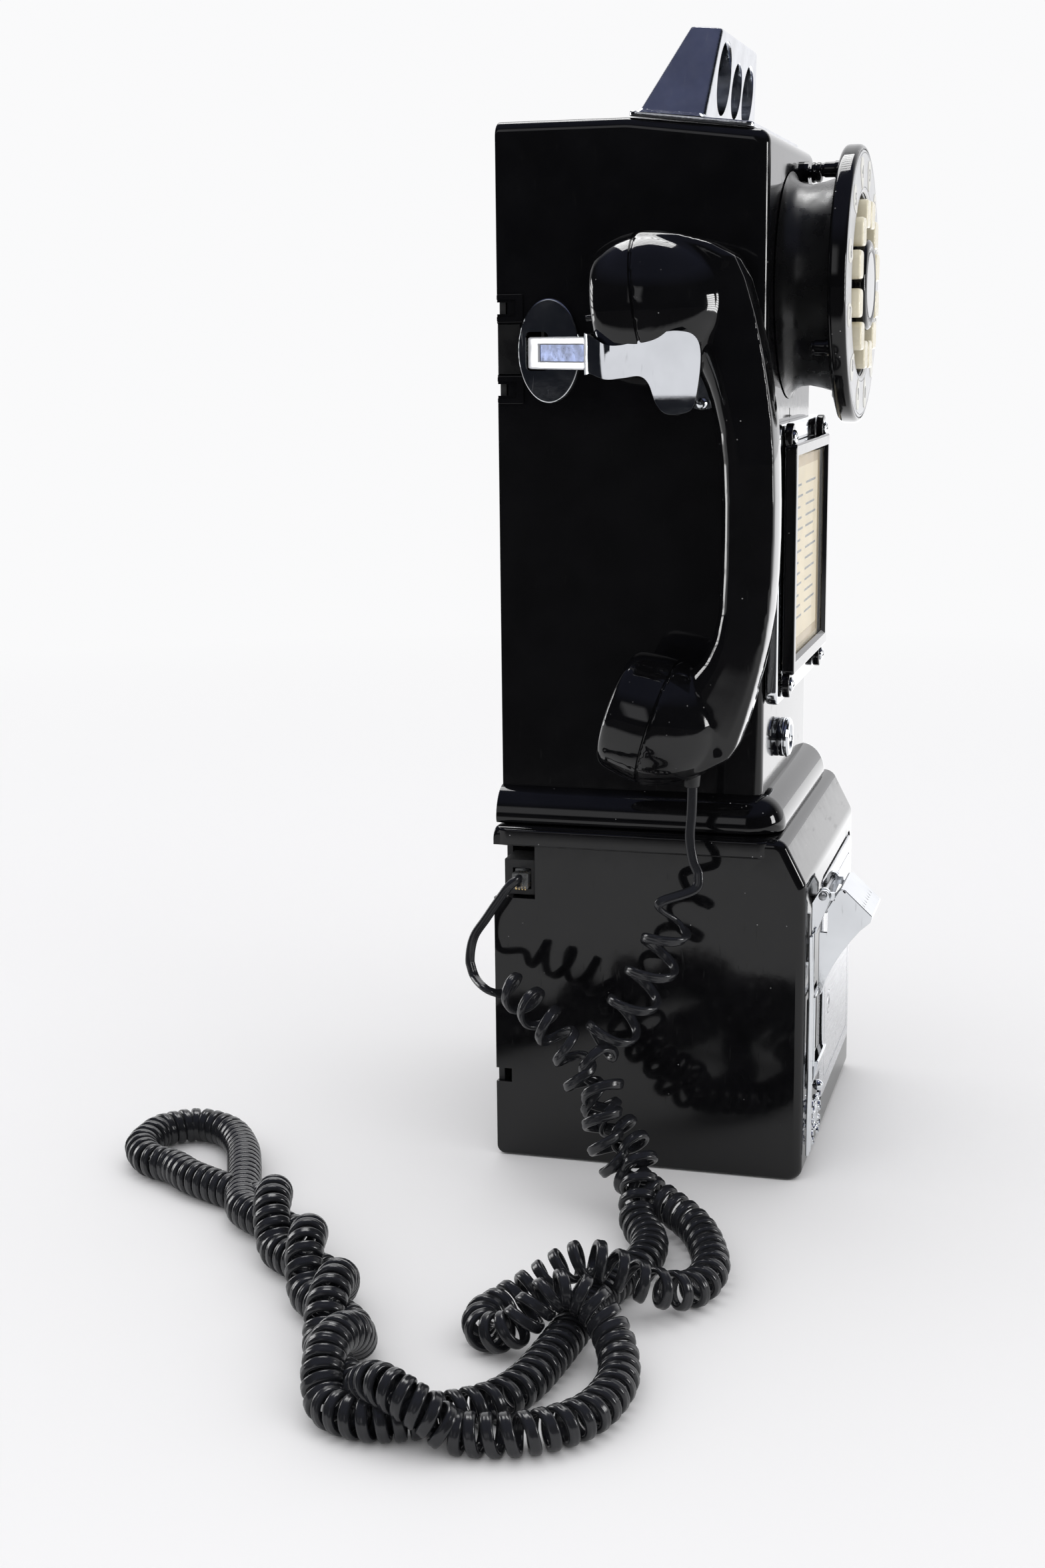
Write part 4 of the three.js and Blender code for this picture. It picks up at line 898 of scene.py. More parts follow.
def make_coin_path():
    chute = cut(bevel(box("coin_chute", -43.5, 43.5, -16.4, -5.6, 161, 421.5), 0.8, 3),
                *[box("lane", x - r, x + r, -14, -8, 150, 430) for x, _, r in COIN_HOLES])
    bands = [bevel(prism("band", rectangle(-44.4, 44.4, -17.2, -4.8, 1), "floor", z, 4), 0.4, 2)
             for z in (175, 240, 310, 380)]
    for band in bands:
        cut(band, box("band_hole", -43.45, 43.45, -16.35, -5.65, 100, 500))
    merge(chute, *bands)
    dress(chute, GREY, "housing", "grey", "coin_chute")
    outer = hopper("coin_hopper", -19, -3, ((38, 2, 118), (45, -45, 158), (45, -45, 160.6)))
    inner = hopper("hopper_inside", -17.6, -4.4, ((36.6, 3.4, 117), (43.6, -43.6, 158), (43.6, -43.6, 162)))
    dress(cut(bevel(outer, 0.5, 2), inner), GREY, "housing", "grey", "coin_hopper")
    tray = bevel(prism("cash_box", rectangle(-28, 62, -58, 50, 4), "floor", 3.2, 96), 1.2, 3, 60)
    tray = cut(tray, prism("tray_inside", rectangle(-26.4, 60.4, -56.4, 48.4, 3), "floor", 5, 100))
    handle = bevel(prism("handle", rounded([(2, 70), (32, 70), (32, 84), (2, 84)], 4), "front", 58.1, 1.6), 0.5, 2)
    merge(tray, cut(handle, prism("finger", rectangle(6, 28, 74, 80, 3), "front", 57, 4)))
    dress(tray, STEEL, "housing", "steel", "cash_box")


# ------------------------------------------------------------------ dial
KEYS = ["key_" + mark for mark in ("3", "2", "1", "hash", "star", "0", "9", "8", "7", "6", "5", "4")]
GLYPHS = {"hash": "#", "star": "*"}


def around(i, radius):
    """The x and z of a place on a circle round the dial's middle; the key places are 30 degrees apart."""
    a = math.radians(15 + 30 * i)
    return radius * math.sin(a), DIAL_Z + radius * math.cos(a)


def make_dial_body():
    profile = [(36.5, 0.4), (46, 0.4)]
    profile += [(46 - 5.2 * math.sin(a), 7.6 - 7.2 * math.cos(a)) for a in (0.2, 0.45, 0.7, 0.95, 1.2, 1.4)]
    profile += [(40.6, 9), (41.6, 14), (43, 18.6), (44.3, 21.4), (44.6, 21.9), (38.8, 22), (36.5, 4)]
    drum = lathe("dial_drum", profile, (0, -44.5, DIAL_Z), FRONT, 128, closed=True)
    dress(drum, SOFT_BLACK, "housing", "black_gloss", "dial_drum", angle=40)

    profile = [(0, 2.2), (38.2, 2.2), (38.2, 0), (54.2, 0), (55.3, 0.3), (55.9, 1.1), (56, 2), (56, 5), (55.8, 6.2),
               (55.2, 7.0), (54.6, 7.3), (54.1, 7.2), (53.9, 6.4), (37.2, 6.4), (36.9, 6.2), (36.5, 5.7), (36.3, 4.4),
               (0, 4.4)]
    bezel = lathe("dial_bezel", profile, (0, DIAL_BACK, DIAL_Z), FRONT, 144)
    tools = [rod("stem", (0, DIAL_BACK + 1, DIAL_Z), FRONT, 6, 10)]
    for i in range(12):
        x, z = around(i, KEY_CIRCLE)
        tools.append(prism("key_hole", rectangle(x - 5.9, x + 5.9, z - 6.1, z + 6.1, 2.7), "front", 65, 10))
    cut(bezel, *tools)
    posts = []
    for degrees in (29, 119, 209, 299):
        a = math.radians(degrees)
        x, z = 51 * math.cos(a), DIAL_Z + 51 * math.sin(a)
        post = [(0, -0.5), (3.4, -0.5), (3.4, 1.2), (3.0, 1.9), (3.0, 5.4), (2.6, 6.1), (2.6, 6.9), (1.6, 7.6),
                (0, 7.7)]
        posts.append(lathe("post", post, (x, DIAL_BACK, z), BACK, 40))
    merge(bezel, *posts)
    dress(bezel, BLACK, "housing", "black_gloss", "dial_bezel", angle=40)

    ring = [(36.9, 0), (53.6, 0), (53.6, 0.5), (53.2, 0.8), (38.6, 0.8), (37.9, 0.75), (37.3, 0.5)]
    face = lathe("dial_face", ring, (0, -73.5, DIAL_Z), FRONT, 144, closed=True)
    grooves = []
    for r in (38.8, 52.4):
        groove = [(r, -1), (r + 0.35, -1), (r + 0.35, 1), (r, 1)]
        grooves.append(lathe("groove", groove, (0, -74.9, DIAL_Z), FRONT, 96, closed=True))
    dress(cut(face, *grooves), SILVER, "housing", "satin", "dial_face", angle=30)

    profile = [(0, 0), (5.4, 0), (5.4, 4.9), (17.2, 4.9), (17.9, 5.2), (18.3, 5.9), (18.4, 9.2), (18.1, 10.2),
               (17.3, 10.9), (16.2, 11.2), (15.2, 11.0), (14.4, 10.5), (13.9, 10.2), (0, 10.2)]
    hub = lathe("dial_hub", profile, (0, DIAL_BACK + 0.4, DIAL_Z), FRONT, 96)
    dress(hub, BLACK, "housing", "black_gloss", "dial_hub", angle=40)
    plate = bevel(rod("dial_label", (0, -76.85, DIAL_Z), FRONT, 13.2, 0.6, 96), 0.2, 2)
    dress(plate, DOME, "housing", "paper", "dial_label")
    board = bevel(rod("keypad_board", (0, -61.5, DIAL_Z), FRONT, 35.6, 1.6, 96), 0.2, 2)
    dress(board, BOARD, "housing", "board", "keypad_board")
    pads = []
    for i in range(12):
        x, z = around(i, KEY_CIRCLE)
        pads.append(bevel(rod("pad", (x, -63.1, z), FRONT, 3.2, 0.3), 0.08, 1))
    dress(gather("keypad_contacts", pads), COPPER, "housing", "board")


def glyph(text, x, z, size, y):
    """A raised character that faces the front, as a mesh."""
    curve = bpy.data.curves.new("glyph", "FONT")
    curve.body = text
    curve.size = size * MM
    curve.extrude = 0.06 * MM
    curve.align_x = "CENTER"
    curve.align_y = "CENTER"
    holder = bpy.data.objects.new("glyph", curve)
    bpy.context.scene.collection.objects.link(holder)
    bpy.context.view_layer.update()
    graph = bpy.context.evaluated_depsgraph_get()
    mesh = bpy.data.meshes.new_from_object(holder.evaluated_get(graph))
    bpy.data.objects.remove(holder)
    obj = bpy.data.objects.new("glyph", mesh)
    bpy.context.scene.collection.objects.link(obj)
    mesh.transform(Matrix.Translation(Vector((x, y, z)) * MM) @ Matrix.Rotation(math.radians(90), 4, "X"))
    return obj


def petal(i):
    """The outline of a number plate: a drop whose broad end is at the rim of the dial."""
    outline = []
    for k in range(40):
        a = math.tau * k / 40
        reach = 45.4 + 6.4 * math.cos(a)
        half = math.sin(a) * (4.3 + 1.9 * math.cos(a))
        near, far = Vector(around(i, reach)), Vector(around(i, reach + 1))
        out = far - near
        outline.append((near.x - out.y * half, near.y + out.x * half))
    return outline


def make_keys():
    plates, marks = [], []
    for i, name in enumerate(KEYS):
        x, z = around(i, KEY_CIRCLE)
        cap = prism(name, rectangle(x - 5.5, x + 5.5, z - 5.7, z + 5.7, 2.6, 7), "front", 66.6, 10.55)
        cap = bevel(cap, 1.0, 5, 50)
        dish = sphere("dish", (x, -106.8, z), 30)
        cap = cut(cap, dish)
        flange = bevel(box("flange", x - 6.2, x + 6.2, -68.4, -67.2, z - 6.3, z + 6.3), 0.3, 2)
        merge(cap, flange)
        dress(cap, CREAM, name + "_body", "cream", name, angle=45)
        x, z = around(i, 45.6)
        plates.append(bevel(prism("plate", petal(i), "front", 74.3, 0.32), 0.12, 2))
        text = name[4:]
        marks.append(glyph(GLYPHS.get(text, text), x, z, 7, -74.66))
    dress(gather("number_plates", plates), LABEL, "housing", "satin")
    dress(gather("numbers", marks), NUMERAL, "housing", "satin")


def sphere(name, centre, radius, steps=48):
    angles = [math.pi * k / steps for k in range(1, steps)]
    profile = [(0, -radius), *[(radius * math.sin(a), -radius * math.cos(a)) for a in angles], (0, radius)]
    return lathe(name, profile, centre, UP, 96)


def make_release_button():
    profile = [(0, 0), (2.2, 0), (2.2, 12), (4.0, 12), (4.3, 12.4), (4.3, 13.2), (3.9, 13.6), (3.9, 14.0),
               (4.3, 14.4), (4.2, 15.6), (3.4, 16.3), (2.0, 16.5), (0, 16.4)]
    button = lathe("release_button", profile, (RELEASE_X, -36, RELEASE_Z), FRONT, 64)
    dress(button, BLACK, "release", "black_gloss", "release_button", angle=40)


# ------------------------------------------------------------------ card holder
def make_card_holder():
    backing = prism("card_backing", rectangle(-58, 58, 196.5, 309.5, 6, 8), "front", 44.8, 5.2)
    dress(bevel(backing, 1.3, 4, 50), CHROME, "housing", "chrome", "card_backing")
    frame_body = bevel(prism("card_frame", rectangle(-49, 49, 208, 301.5, 2, 5), "front", 50.3, 5.0), 0.9, 4, 50)
    lugs = [bevel(rod("lug", (x, -50.3, z), FRONT, 5.5, 3.1, 48), 0.6, 3) for x, z in CARD_LUGS]
    frame_body = join(frame_body, *lugs)
    opening = prism("opening", rectangle(-43, 43, 214.5, 295.5, 1.2), "front", 49, 8)
    rebate = box("rebate", -46, 46, -53.4, -49, 211.5, 298.5)
    slope = loft("slope", [[(-x, y, low), (x, y, low), (x, y, high), (-x, y, high)]
                           for x, y, low, high in ((43, -53.6, 214.5, 295.5), (44.6, -55.6, 212.9, 297.1))])
    frame_body = cut(frame_body, opening, rebate, slope)
    dress(frame_body, BLACK, "housing", "black_gloss", "card_frame")
    screws = [screw("screw", (x, -53.4, z), FRONT, 2.9) for x, z in CARD_LUGS]
    dress(gather("card_screws", screws), CHROME, "housing", "steel")
    window = bevel(box("card_window", -45.6, 45.6, -53.1, -52.1, 211.9, 298.1), 0.2, 2)
    dress(window, PANE, "housing", "clear", "card_window")
    card = bevel(box("card_sheet", -45.6, 45.6, -51.6, -50.9, 211.9, 298.1), 0.15, 2)
    dress(card, CARD, "housing", "paper", "card_sheet")
    border = prism("card_print", rectangle(-42, 42, 215.5, 294.5, 2), "front", 51.55, 0.16)
    border = cut(border, prism("inside", rectangle(-38, 38, 219.5, 290.5, 1), "front", 51, 1))
    dress(border, GOLD_INK, "housing", "paper")
    lines = []
    for row in range(13):
        z = 283 - row * 4.6
        for x0, x1 in ((-34, -5), (3, 33)):
            end = x1 - (row * 7 + (5 if x0 < 0 else 2)) % 11
            lines.append(prism("line", rectangle(x0, end, z - 0.45, z + 0.45, 0.3, 2), "front", 51.55, 0.12))
    dress(gather("card_lines", lines), GREY, "housing", "paper")


# ------------------------------------------------------------------ locks
def make_lock(name, x, z, front, radius, depth, cam, material, body, slot):
    profile = [(0, 0), (radius - 0.5, 0), (radius, 0.4), (radius, depth), (0, depth)]
    plug = lathe(name, profile, (x, front, z), BACK, 64)
    keyway = prism("keyway", rectangle(x - 0.55, x + 0.55, z - 3.3, z + 3.3, 0.4, 3), "front", -front - 3, 5)
    eye = rod("eye", (x, front - 1, z), BACK, 1.5, 4, 32)
    plug = cut(plug, keyway, eye)
    arm = prism("arm", rectangle(x - 3, x + 3, z - 3, z + cam, 1.5), "front", -front - depth - 2, 2.1)
    merge(plug, bevel(arm, 0.3, 2))
    dress(plug, material, body, slot, name)


def make_housing_lock():
    x, z = HOUSING_LOCK_X, HOUSING_LOCK_Z
    profile = [(5.3, 0), (6.6, 0), (6.6, 19.2), (8.0, 19.2), (8.3, 19.8), (8.3, 21.2), (8.0, 21.6), (8.6, 22.2),
               (8.4, 23.0), (7.6, 23.8), (6.6, 24.1), (5.8, 23.9), (5.3, 23.3)]
    barrel = lathe("housing_lock_barrel", profile, (x, -25.3, z), FRONT, 96, closed=True)
    nut = cut(prism("nut", ellipse(x, z, 11, 11, 6), "front", 36.4, 3.4), rod("nut_hole", (x, -30, z), FRONT, 6.7, 20))
    merge(barrel, bevel(nut, 0.4, 2))
    dress(barrel, CHROME, "housing", "chrome", "housing_lock_barrel", angle=28)
    make_lock("housing_lock_plug", x, z, -48.6, 5, 24, 14, CHROME, "housing_plug", "chrome")


# ------------------------------------------------------------------ vault door
def make_vault_door():
    door = bevel(prism("vault_door", rectangle(-26, 66.3, 18, 116.5, 5, 8), "front", 61.5, 5), 1.1, 4, 50)
    hollow = prism("hollow", rectangle(-22, 60.3, 22, 112.5, 4), "front", 56.5, 7.6)
    boss = rod("boss", (VAULT_LOCK_X, -65.5, VAULT_LOCK_Z), BACK, 8.5, 4, 64)
    door = join(cut(door, hollow), boss)
    panel = cut(prism("panel", rectangle(-19, 59, 25, 110, 4), "front", 66.2, 1),
                prism("panel_inner", rectangle(-18.2, 58.2, 25.8, 109.2, 3.4), "front", 66, 1.4))
    ribs = [bevel(box("rib", -22, 60.3, -64.6, -62.4, z, z + 1.6), 0.3, 1) for z in (44, 66.2, 90)]
    door = cut(door, panel, rod("lock_hole", (VAULT_LOCK_X, -75, VAULT_LOCK_Z), BACK, 5.3, 20, 64),
               rod("pin_hole", (*DOOR_PIN, 10), UP, 1.4, 120, 32))
    for rib in ribs:
        merge(door, cut(rib, rod("rib_hole", (VAULT_LOCK_X, -75, VAULT_LOCK_Z), BACK, 8.4, 20, 48)))
    dress(door, SATIN, "door", "satin", "vault_door")
    make_lock("vault_lock_plug", VAULT_LOCK_X, VAULT_LOCK_Z, -66.8, 5, 6.6, 13, SATIN, "door_plug", "satin")
    pin("vault_hinge_pin", (*DOOR_PIN, 13.4), UP, 1.1, 107)


# ------------------------------------------------------------------ coin return
def make_return_plate():
    sheet = bevel(prism("return_plate", rectangle(-73, -30, 8, 106, 3, 6), "front", 65.8, 1.4), 0.45, 3, 50)
    opening = prism("opening", rectangle(-60.5, -37, 48, 75, 2.5), "front", 60, 10)
    tab = prism("tab", rounded([(-65.9, 104), (-67.2, 104), (-71.4, 114.2), (-70.2, 114.8)], 0.3), "side", -61.7, 29.2)
    sheet = cut(join(sheet, bevel(tab, 0.3, 2)), opening)
    details = [bevel(box("rail", x0, x1, -68, -66.6, 10, 105), 0.5, 3) for x0, x1 in ((-72, -70), (-67, -64))]
    details += [bevel(box("rim", x0, x1, -68.4, -66.8, z0, z1), 0.45, 3) for x0, x1, z0, z1 in
                ((-62.4, -60.8, 46, 77), (-36.8, -35.2, 46, 77), (-62.4, -35.2, 75.4, 77))]
    tongue = rounded([(-66.4, 47.6), (-70.2, 48.2), (-69.6, 45), (-66.4, 33.6)], [0.4, 0.8, 1, 0.4])
    details.append(bevel(prism("tongue", tongue, "side", -60.5, 23.5), 0.5, 3))
    middle = -48.7
    details.append(sphere("ball", (middle, -68.2, 33.4), 2.3, 24))
    for k in range(9):
        angle = math.tau * k / 9
        place = (middle + 6.6 * math.cos(angle), -67.1, 21 + 6.6 * math.sin(angle))
        details.append(sphere("bead", place, 1.25, 16))
    medallion = [(0, 0), (4.6, 0), (4.4, 0.7), (3.2, 1.2), (2.4, 0.9), (0, 1.3)]
    details.append(lathe("medallion", medallion, (middle, -66.9, 21), FRONT, 48))
    for sign in (-1, 1):
        for x, z, r in ((9.6, 27, 2.4), (11.4, 20, 1.9), (10, 14, 2.2), (6.8, 10.6, 1.4)):
            curl = [(r - 0.6, 0), (r + 0.5, 0), (r + 0.2, 0.9), (r - 0.3, 0.9)]
            details.append(lathe("curl", curl, (middle + sign * x, -67.0, z), FRONT, 32, closed=True))
    ear = rounded([(-66.4, 104), (-66.4, 117), (-69.6, 122.5), (-73.2, 122.5), (-74, 119), (-68.6, 104)],
                  [0, 2, 2, 2, 1.5, 0])
    for x in (-64.6, -31.8):
        details.append(cut(bevel(prism("ear", ear, "side", x, 2.2), 0.35, 2),
                           rod("pin_hole", (-70, *HOOD_PIN), RIGHT, 1.2, 50, 24)))
    merge(sheet, *details)
    dress(sheet, CHROME, "housing", "chrome", "return_plate", angle=35)
    profile = [(0, -1.2), (1.3, -0.9), (1.7, 0), (1.7, 0.9), (0.9, 0.9), (0.9, 36.6), (1.6, 36.6), (1.6, 37.6),
               (0, 38.6)]
    rivet = lathe("return_pin", profile, (-65.6, *HOOD_PIN), RIGHT, 32)
    dress(rivet, STEEL, "housing", "steel", "return_pin", angle=45)
    cup = bevel(box("return_cup", -67.6, -36.4, -62.6, -38, 42.5, 79), 0.8, 3)
    inside = rounded([(-70, 45), (-58, 45), (-41, 54), (-41, 77.4), (-70, 77.4)], [0, 6, 8, 3, 0])
    cup = cut(cup, prism("inside", inside, "side", -66, 28))
    dress(cup, MATTE, "housing", "black_matte", "return_cup")


def make_return_hood():
    outer = [(-69.4, 77), (-69.2, 108.5), (-77.4, 122.6), (-79.4, 122.8), (-91, 111.9), (-90.2, 109.4), (-86, 105.6),
             (-82.0, 100.6), (-78.3, 95.2), (-75.2, 90), (-72.6, 84.4), (-70.6, 77.6)]
    inner = [(-60, 76), (-60, 106), (-71.6, 108.6), (-78.6, 120.4), (-88.6, 111), (-84, 105.4), (-76.5, 95.4),
             (-70.8, 84)]
    hood = prism("return_hood", rounded(outer, [0.3, 1, 1.4, 1, 0.8, 0.8, 2, 3, 3, 3, 2, 0.3], 4), "side", -62, 29.8)
    hood = bevel(hood, 0.6, 3, 50)
    hood = cut(hood, prism("inside", rounded(inner, 0.6, 3), "side", -60.2, 26.2),
               box("gap", -70, -20, -72.7, -60, 104, 121.6))
    details = []
    for x in (-62, -34.2):
        ear = join(rod("ear", (x, *HOOD_PIN), RIGHT, 2.6, 2, 32), box("web", x, x + 2, -75.5, -71, 117.8, 121))
        details.append(cut(ear, rod("pin_hole", (-66, *HOOD_PIN), RIGHT, 1.2, 40, 24)))
    top, bottom = Vector((0, -78.4, 122.7)), Vector((0, -91, 111.9))
    slope = (bottom - top).normalized()
    turn = Matrix((Vector(RIGHT), slope, Vector(RIGHT).cross(slope))).transposed().to_4x4()
    for k in range(7):
        bar = bevel(box("bar", -1.0 - 0.25 * (k % 3), 1.0, -3.6 + 0.8 * (k % 2), 3.6, -0.35, 0.45), 0.18, 2)
        centre = top.lerp(bottom, 0.5) + Vector((3.9 * k - 58.4, 0, 0))
        bar.data.transform(Matrix.Translation(centre * MM) @ turn)
        details.append(bar)
    rim = bevel(box("rim", -62, -32.2, -0.9, 0.9, -0.5, 0.7), 0.25, 2)
    rim.data.transform(Matrix.Translation(top.lerp(bottom, 0.08) * MM) @ turn)
    details.append(rim)
    merge(hood, *details)
    dress(hood, CHROME, "hood", "chrome", "return_hood", angle=30)


# ------------------------------------------------------------------ hook
def make_hook():
    plate = prism("hook_escutcheon", ellipse(43.5, 339, 12.8, 20.7, 72), "side", -62.6, 1.8)
    plate = cut(bevel(plate, 0.7, 4, 50), prism("slot", rectangle(43.7, 53.2, 331.2, 346.6, 2), "side", -70, 15))
    dress(plate, CHROME, "housing", "chrome", "hook_escutcheon", angle=28)

    near, far = -121.2, -62.8
    prong = flow_closed([
        (17, 345), (12, 344.4), (6.5, 341.5), (0, 341.5), (-9.5, 344), (-16, 346.1), (-21.5, 346.3), (-26.2, 345),
        (-28.9, 341), (-29.4, 333.2), (-28.2, 322.4), (-26.4, 317.8), (-22, 316.2), (-16.6, 316.4), (-13, 320.4),
        (-10.2, 327.2), (-6.6, 330.0), (-0.5, 329.4), (6.4, 328.9), (12.5, 331.0), (17, 331.6),
    ])
    block = prism("hook_arm", prong, "side", near, far - near)
    inside = rounded([(near + 2.6, -40), (far - 2.6, -40), (far - 2.6, 14.6), (near + 2.6, 14.6)], [0, 0, 10, 10], 10)
    outside = rounded([(near, -45), (far, -45), (far, 17), (near, 17)], [0, 0, 12, 12], 10)
    waste = cut(box("waste", near - 5, far + 5, -60, 30, 300, 360), prism("outside", outside, "floor", 290, 80))
    cradle = bevel(cut(block, prism("inside", inside, "floor", 300, 60), waste), 0.8, 3, 45)
    plan = rounded([(-47, 52.5), (-61.6, 52.9), (-99, 15.8), (-90, 13.2), (-62.5, 44.3), (-47, 44.3)],
                   [0, 6, 1, 1, 6, 0], 8)
    beam = bevel(prism("beam", plan, "floor", 331.9, 12.6), 1.0, 4, 45)
    panel = loft("panel", [beam_panel(0.0, 0), beam_panel(-2.2, 1.0)])
    beam = cut(beam, panel)
    # A thin dark blue sheet laid in the beam's recess: a painted reflection of the dark room on the chrome.
    painted_reflection_inlay = loft("beam_painted_reflection_inlay", [beam_panel(-1.5, 0.9), beam_panel(-2.1, 0.9)])
    hub = rod("hub", (HOOK_PIN_X, 44.3, HOOK_PIN_Z), BACK, 4.6, 8.2)
    tail = bevel(box("tail", -50, -36, 45, 52, 334.5, 341.5), 0.8, 2)
    lean_in(cradle)
    beam = cut(join(beam, hub, tail), rod("pin_hole", (HOOK_PIN_X, 30, HOOK_PIN_Z), BACK, 1.8, 40))
    dress(beam, BRIGHT, "hook", "chrome", angle=30)
    merge(cradle, sphere("far_tip", (-66.2, -19.9, 318.2), 2.6, 24),
          sphere("near_tip", (-117.8, -20.4, 318.0), 2.4, 24))
    dress(cradle, CHROME, "hook", "chrome", "hook_arm", angle=30)
    # The recess sheet carries the painted reflection of the dark room.
    dress(painted_reflection_inlay, PAINTED_REFLECTION_NAVY, "hook", "chrome")
    pin("hook_pin", (HOOK_PIN_X, 39.6, HOOK_PIN_Z), BACK, 1.5, 19)


def lean_in(cradle):
    """Tips the upper part of the near plate towards the handset, so that it faces up a little."""
    mesh = bmesh.new()
    mesh.from_mesh(cradle.data)
    for z in (319, 321, 323, 325, 327, 332, 338):
        everything = mesh.verts[:] + mesh.edges[:] + mesh.faces[:]
        bmesh.ops.bisect_plane(mesh, geom=everything, plane_co=(0, 0, z * MM), plane_no=UP)
    for vertex in mesh.verts:
        x, y, z = vertex.co / MM
        if x < -104 and y < 15:
            rise = z - 322
            lean = 0.0 if rise < -4 else (rise + 4) ** 2 / 16 if rise < 4 else rise
            share = min(1.0, (-104 - x) / 12) * min(1.0, (15 - y) / 10)
            vertex.co.x += 0.165 * lean * share * MM
    mesh.to_mesh(cradle.data)
    mesh.free()


def beam_panel(depth, inset):
    """The recess in the near face of the beam, between the housing and the cradle."""
    start, end = Vector((-66.5, 48.0)), Vector((-95, 19.8))
    along = (end - start).normalized()
    out = Vector((along.y, -along.x)) * (0.8 + depth)
    a = start + along * (1.5 + inset) + out
    b = end - along * (1.5 + inset) + out
    low, high = 334.2 + inset, 342.4 - inset
    return [(a.x, a.y, low), (b.x, b.y, low), (b.x, b.y, high), (a.x, a.y, high)]


def on_curve(p0, p1, p2, p3, t):
    """A spot between p1 and p2 on the smooth curve through all four."""
    return 0.5 * ((2 * p1) + (p2 - p0) * t + (2 * p0 - 5 * p1 + 4 * p2 - p3) * t * t
                  + (3 * p1 - p0 - 3 * p2 + p3) * t ** 3)


def flow_closed(points):
    """A smooth closed outline through the points, five to a side."""
    outline = []
    for i in range(len(points)):
        near = [Vector(points[(i + k) % len(points)]) for k in (-1, 0, 1, 2)]
        outline += [tuple(on_curve(*near, k / 5)) for k in range(5)]
    return outline


def smooth_profile(points):
    """Points between those of a profile, on a smooth curve; both ends stay."""
    outline, last = [], len(points) - 1
    for i in range(last):
        near = [Vector(points[min(max(i + k, 0), last)]) for k in (-1, 0, 1, 2)]
        for k in range(4):
            spot = on_curve(*near, k / 4)
            outline.append((max(spot.x, 0.0), spot.y))
    return outline + [tuple(points[-1])]


def make_hook_works():
    bracket = join(box("hook_bracket", -57.8, -30, 40, 58, 318.4, 320.6),
                   *[prism("cheek", rectangle(-57.8, -44, 319, 343, 2), "front", -y - 2, 2) for y in (40, 56)])
    bracket = cut(bevel(bracket, 0.4, 2, 50), rod("pin_hole", (HOOK_PIN_X, 30, HOOK_PIN_Z), BACK, 1.8, 40))
    dress(bracket, STEEL, "housing", "steel", "hook_bracket")
    case = bevel(box("hook_switch", -46, -30, 43, 57, 349, 362), 0.6, 3)
    marks = [bevel(rod("rivet", (x, 43, z), FRONT, 1.2, 0.4, 24), 0.1, 1) for x, z in ((-43, 352), (-33, 359))]
    merge(case, *marks)
    dress(case, MATTE, "housing", "black_matte", "hook_switch")


# ------------------------------------------------------------------ handset
def tilted(degrees):
    a = math.radians(degrees)
    return Vector((0, math.cos(a), math.sin(a)))


EAR, EAR_AXIS = Vector((HANDSET_X, -3.9, 354.6)), tilted(-8.5)
MOUTH, MOUTH_AXIS = Vector((HANDSET_X, -8.4, 194.9)), tilted(17.9)


def handset_section(y_out, z_out, y_in, z_in, half, flat):
    """A ring across the grip: flat strip outside, rounded belly inside; u runs across, v outside to inside."""
    outer, inner = Vector((0, y_out, z_out)), Vector((0, y_in, z_in))
    depth = (inner - outer).length
    shape = [(-flat, 0), (-flat * 0.5, -0.25), (0, -0.35), (flat * 0.5, -0.25), (flat, 0)]
    angles = [math.pi * k / 16 for k in range(17)]
    belly = [(half * math.cos(a), 0.62 * depth + 0.38 * depth * math.sin(a)) for a in angles]
    upper = [(flat + (half - flat) * k / 4, 0.62 * depth * (k / 4) ** 1.25) for k in range(1, 4)]
    ring = shape + upper + belly + [(-u, v) for u, v in reversed(upper)]
    along = (inner - outer).normalized()
    return [(HANDSET_X + u, outer.y + along.y * v, outer.z + along.z * v) for u, v in ring]


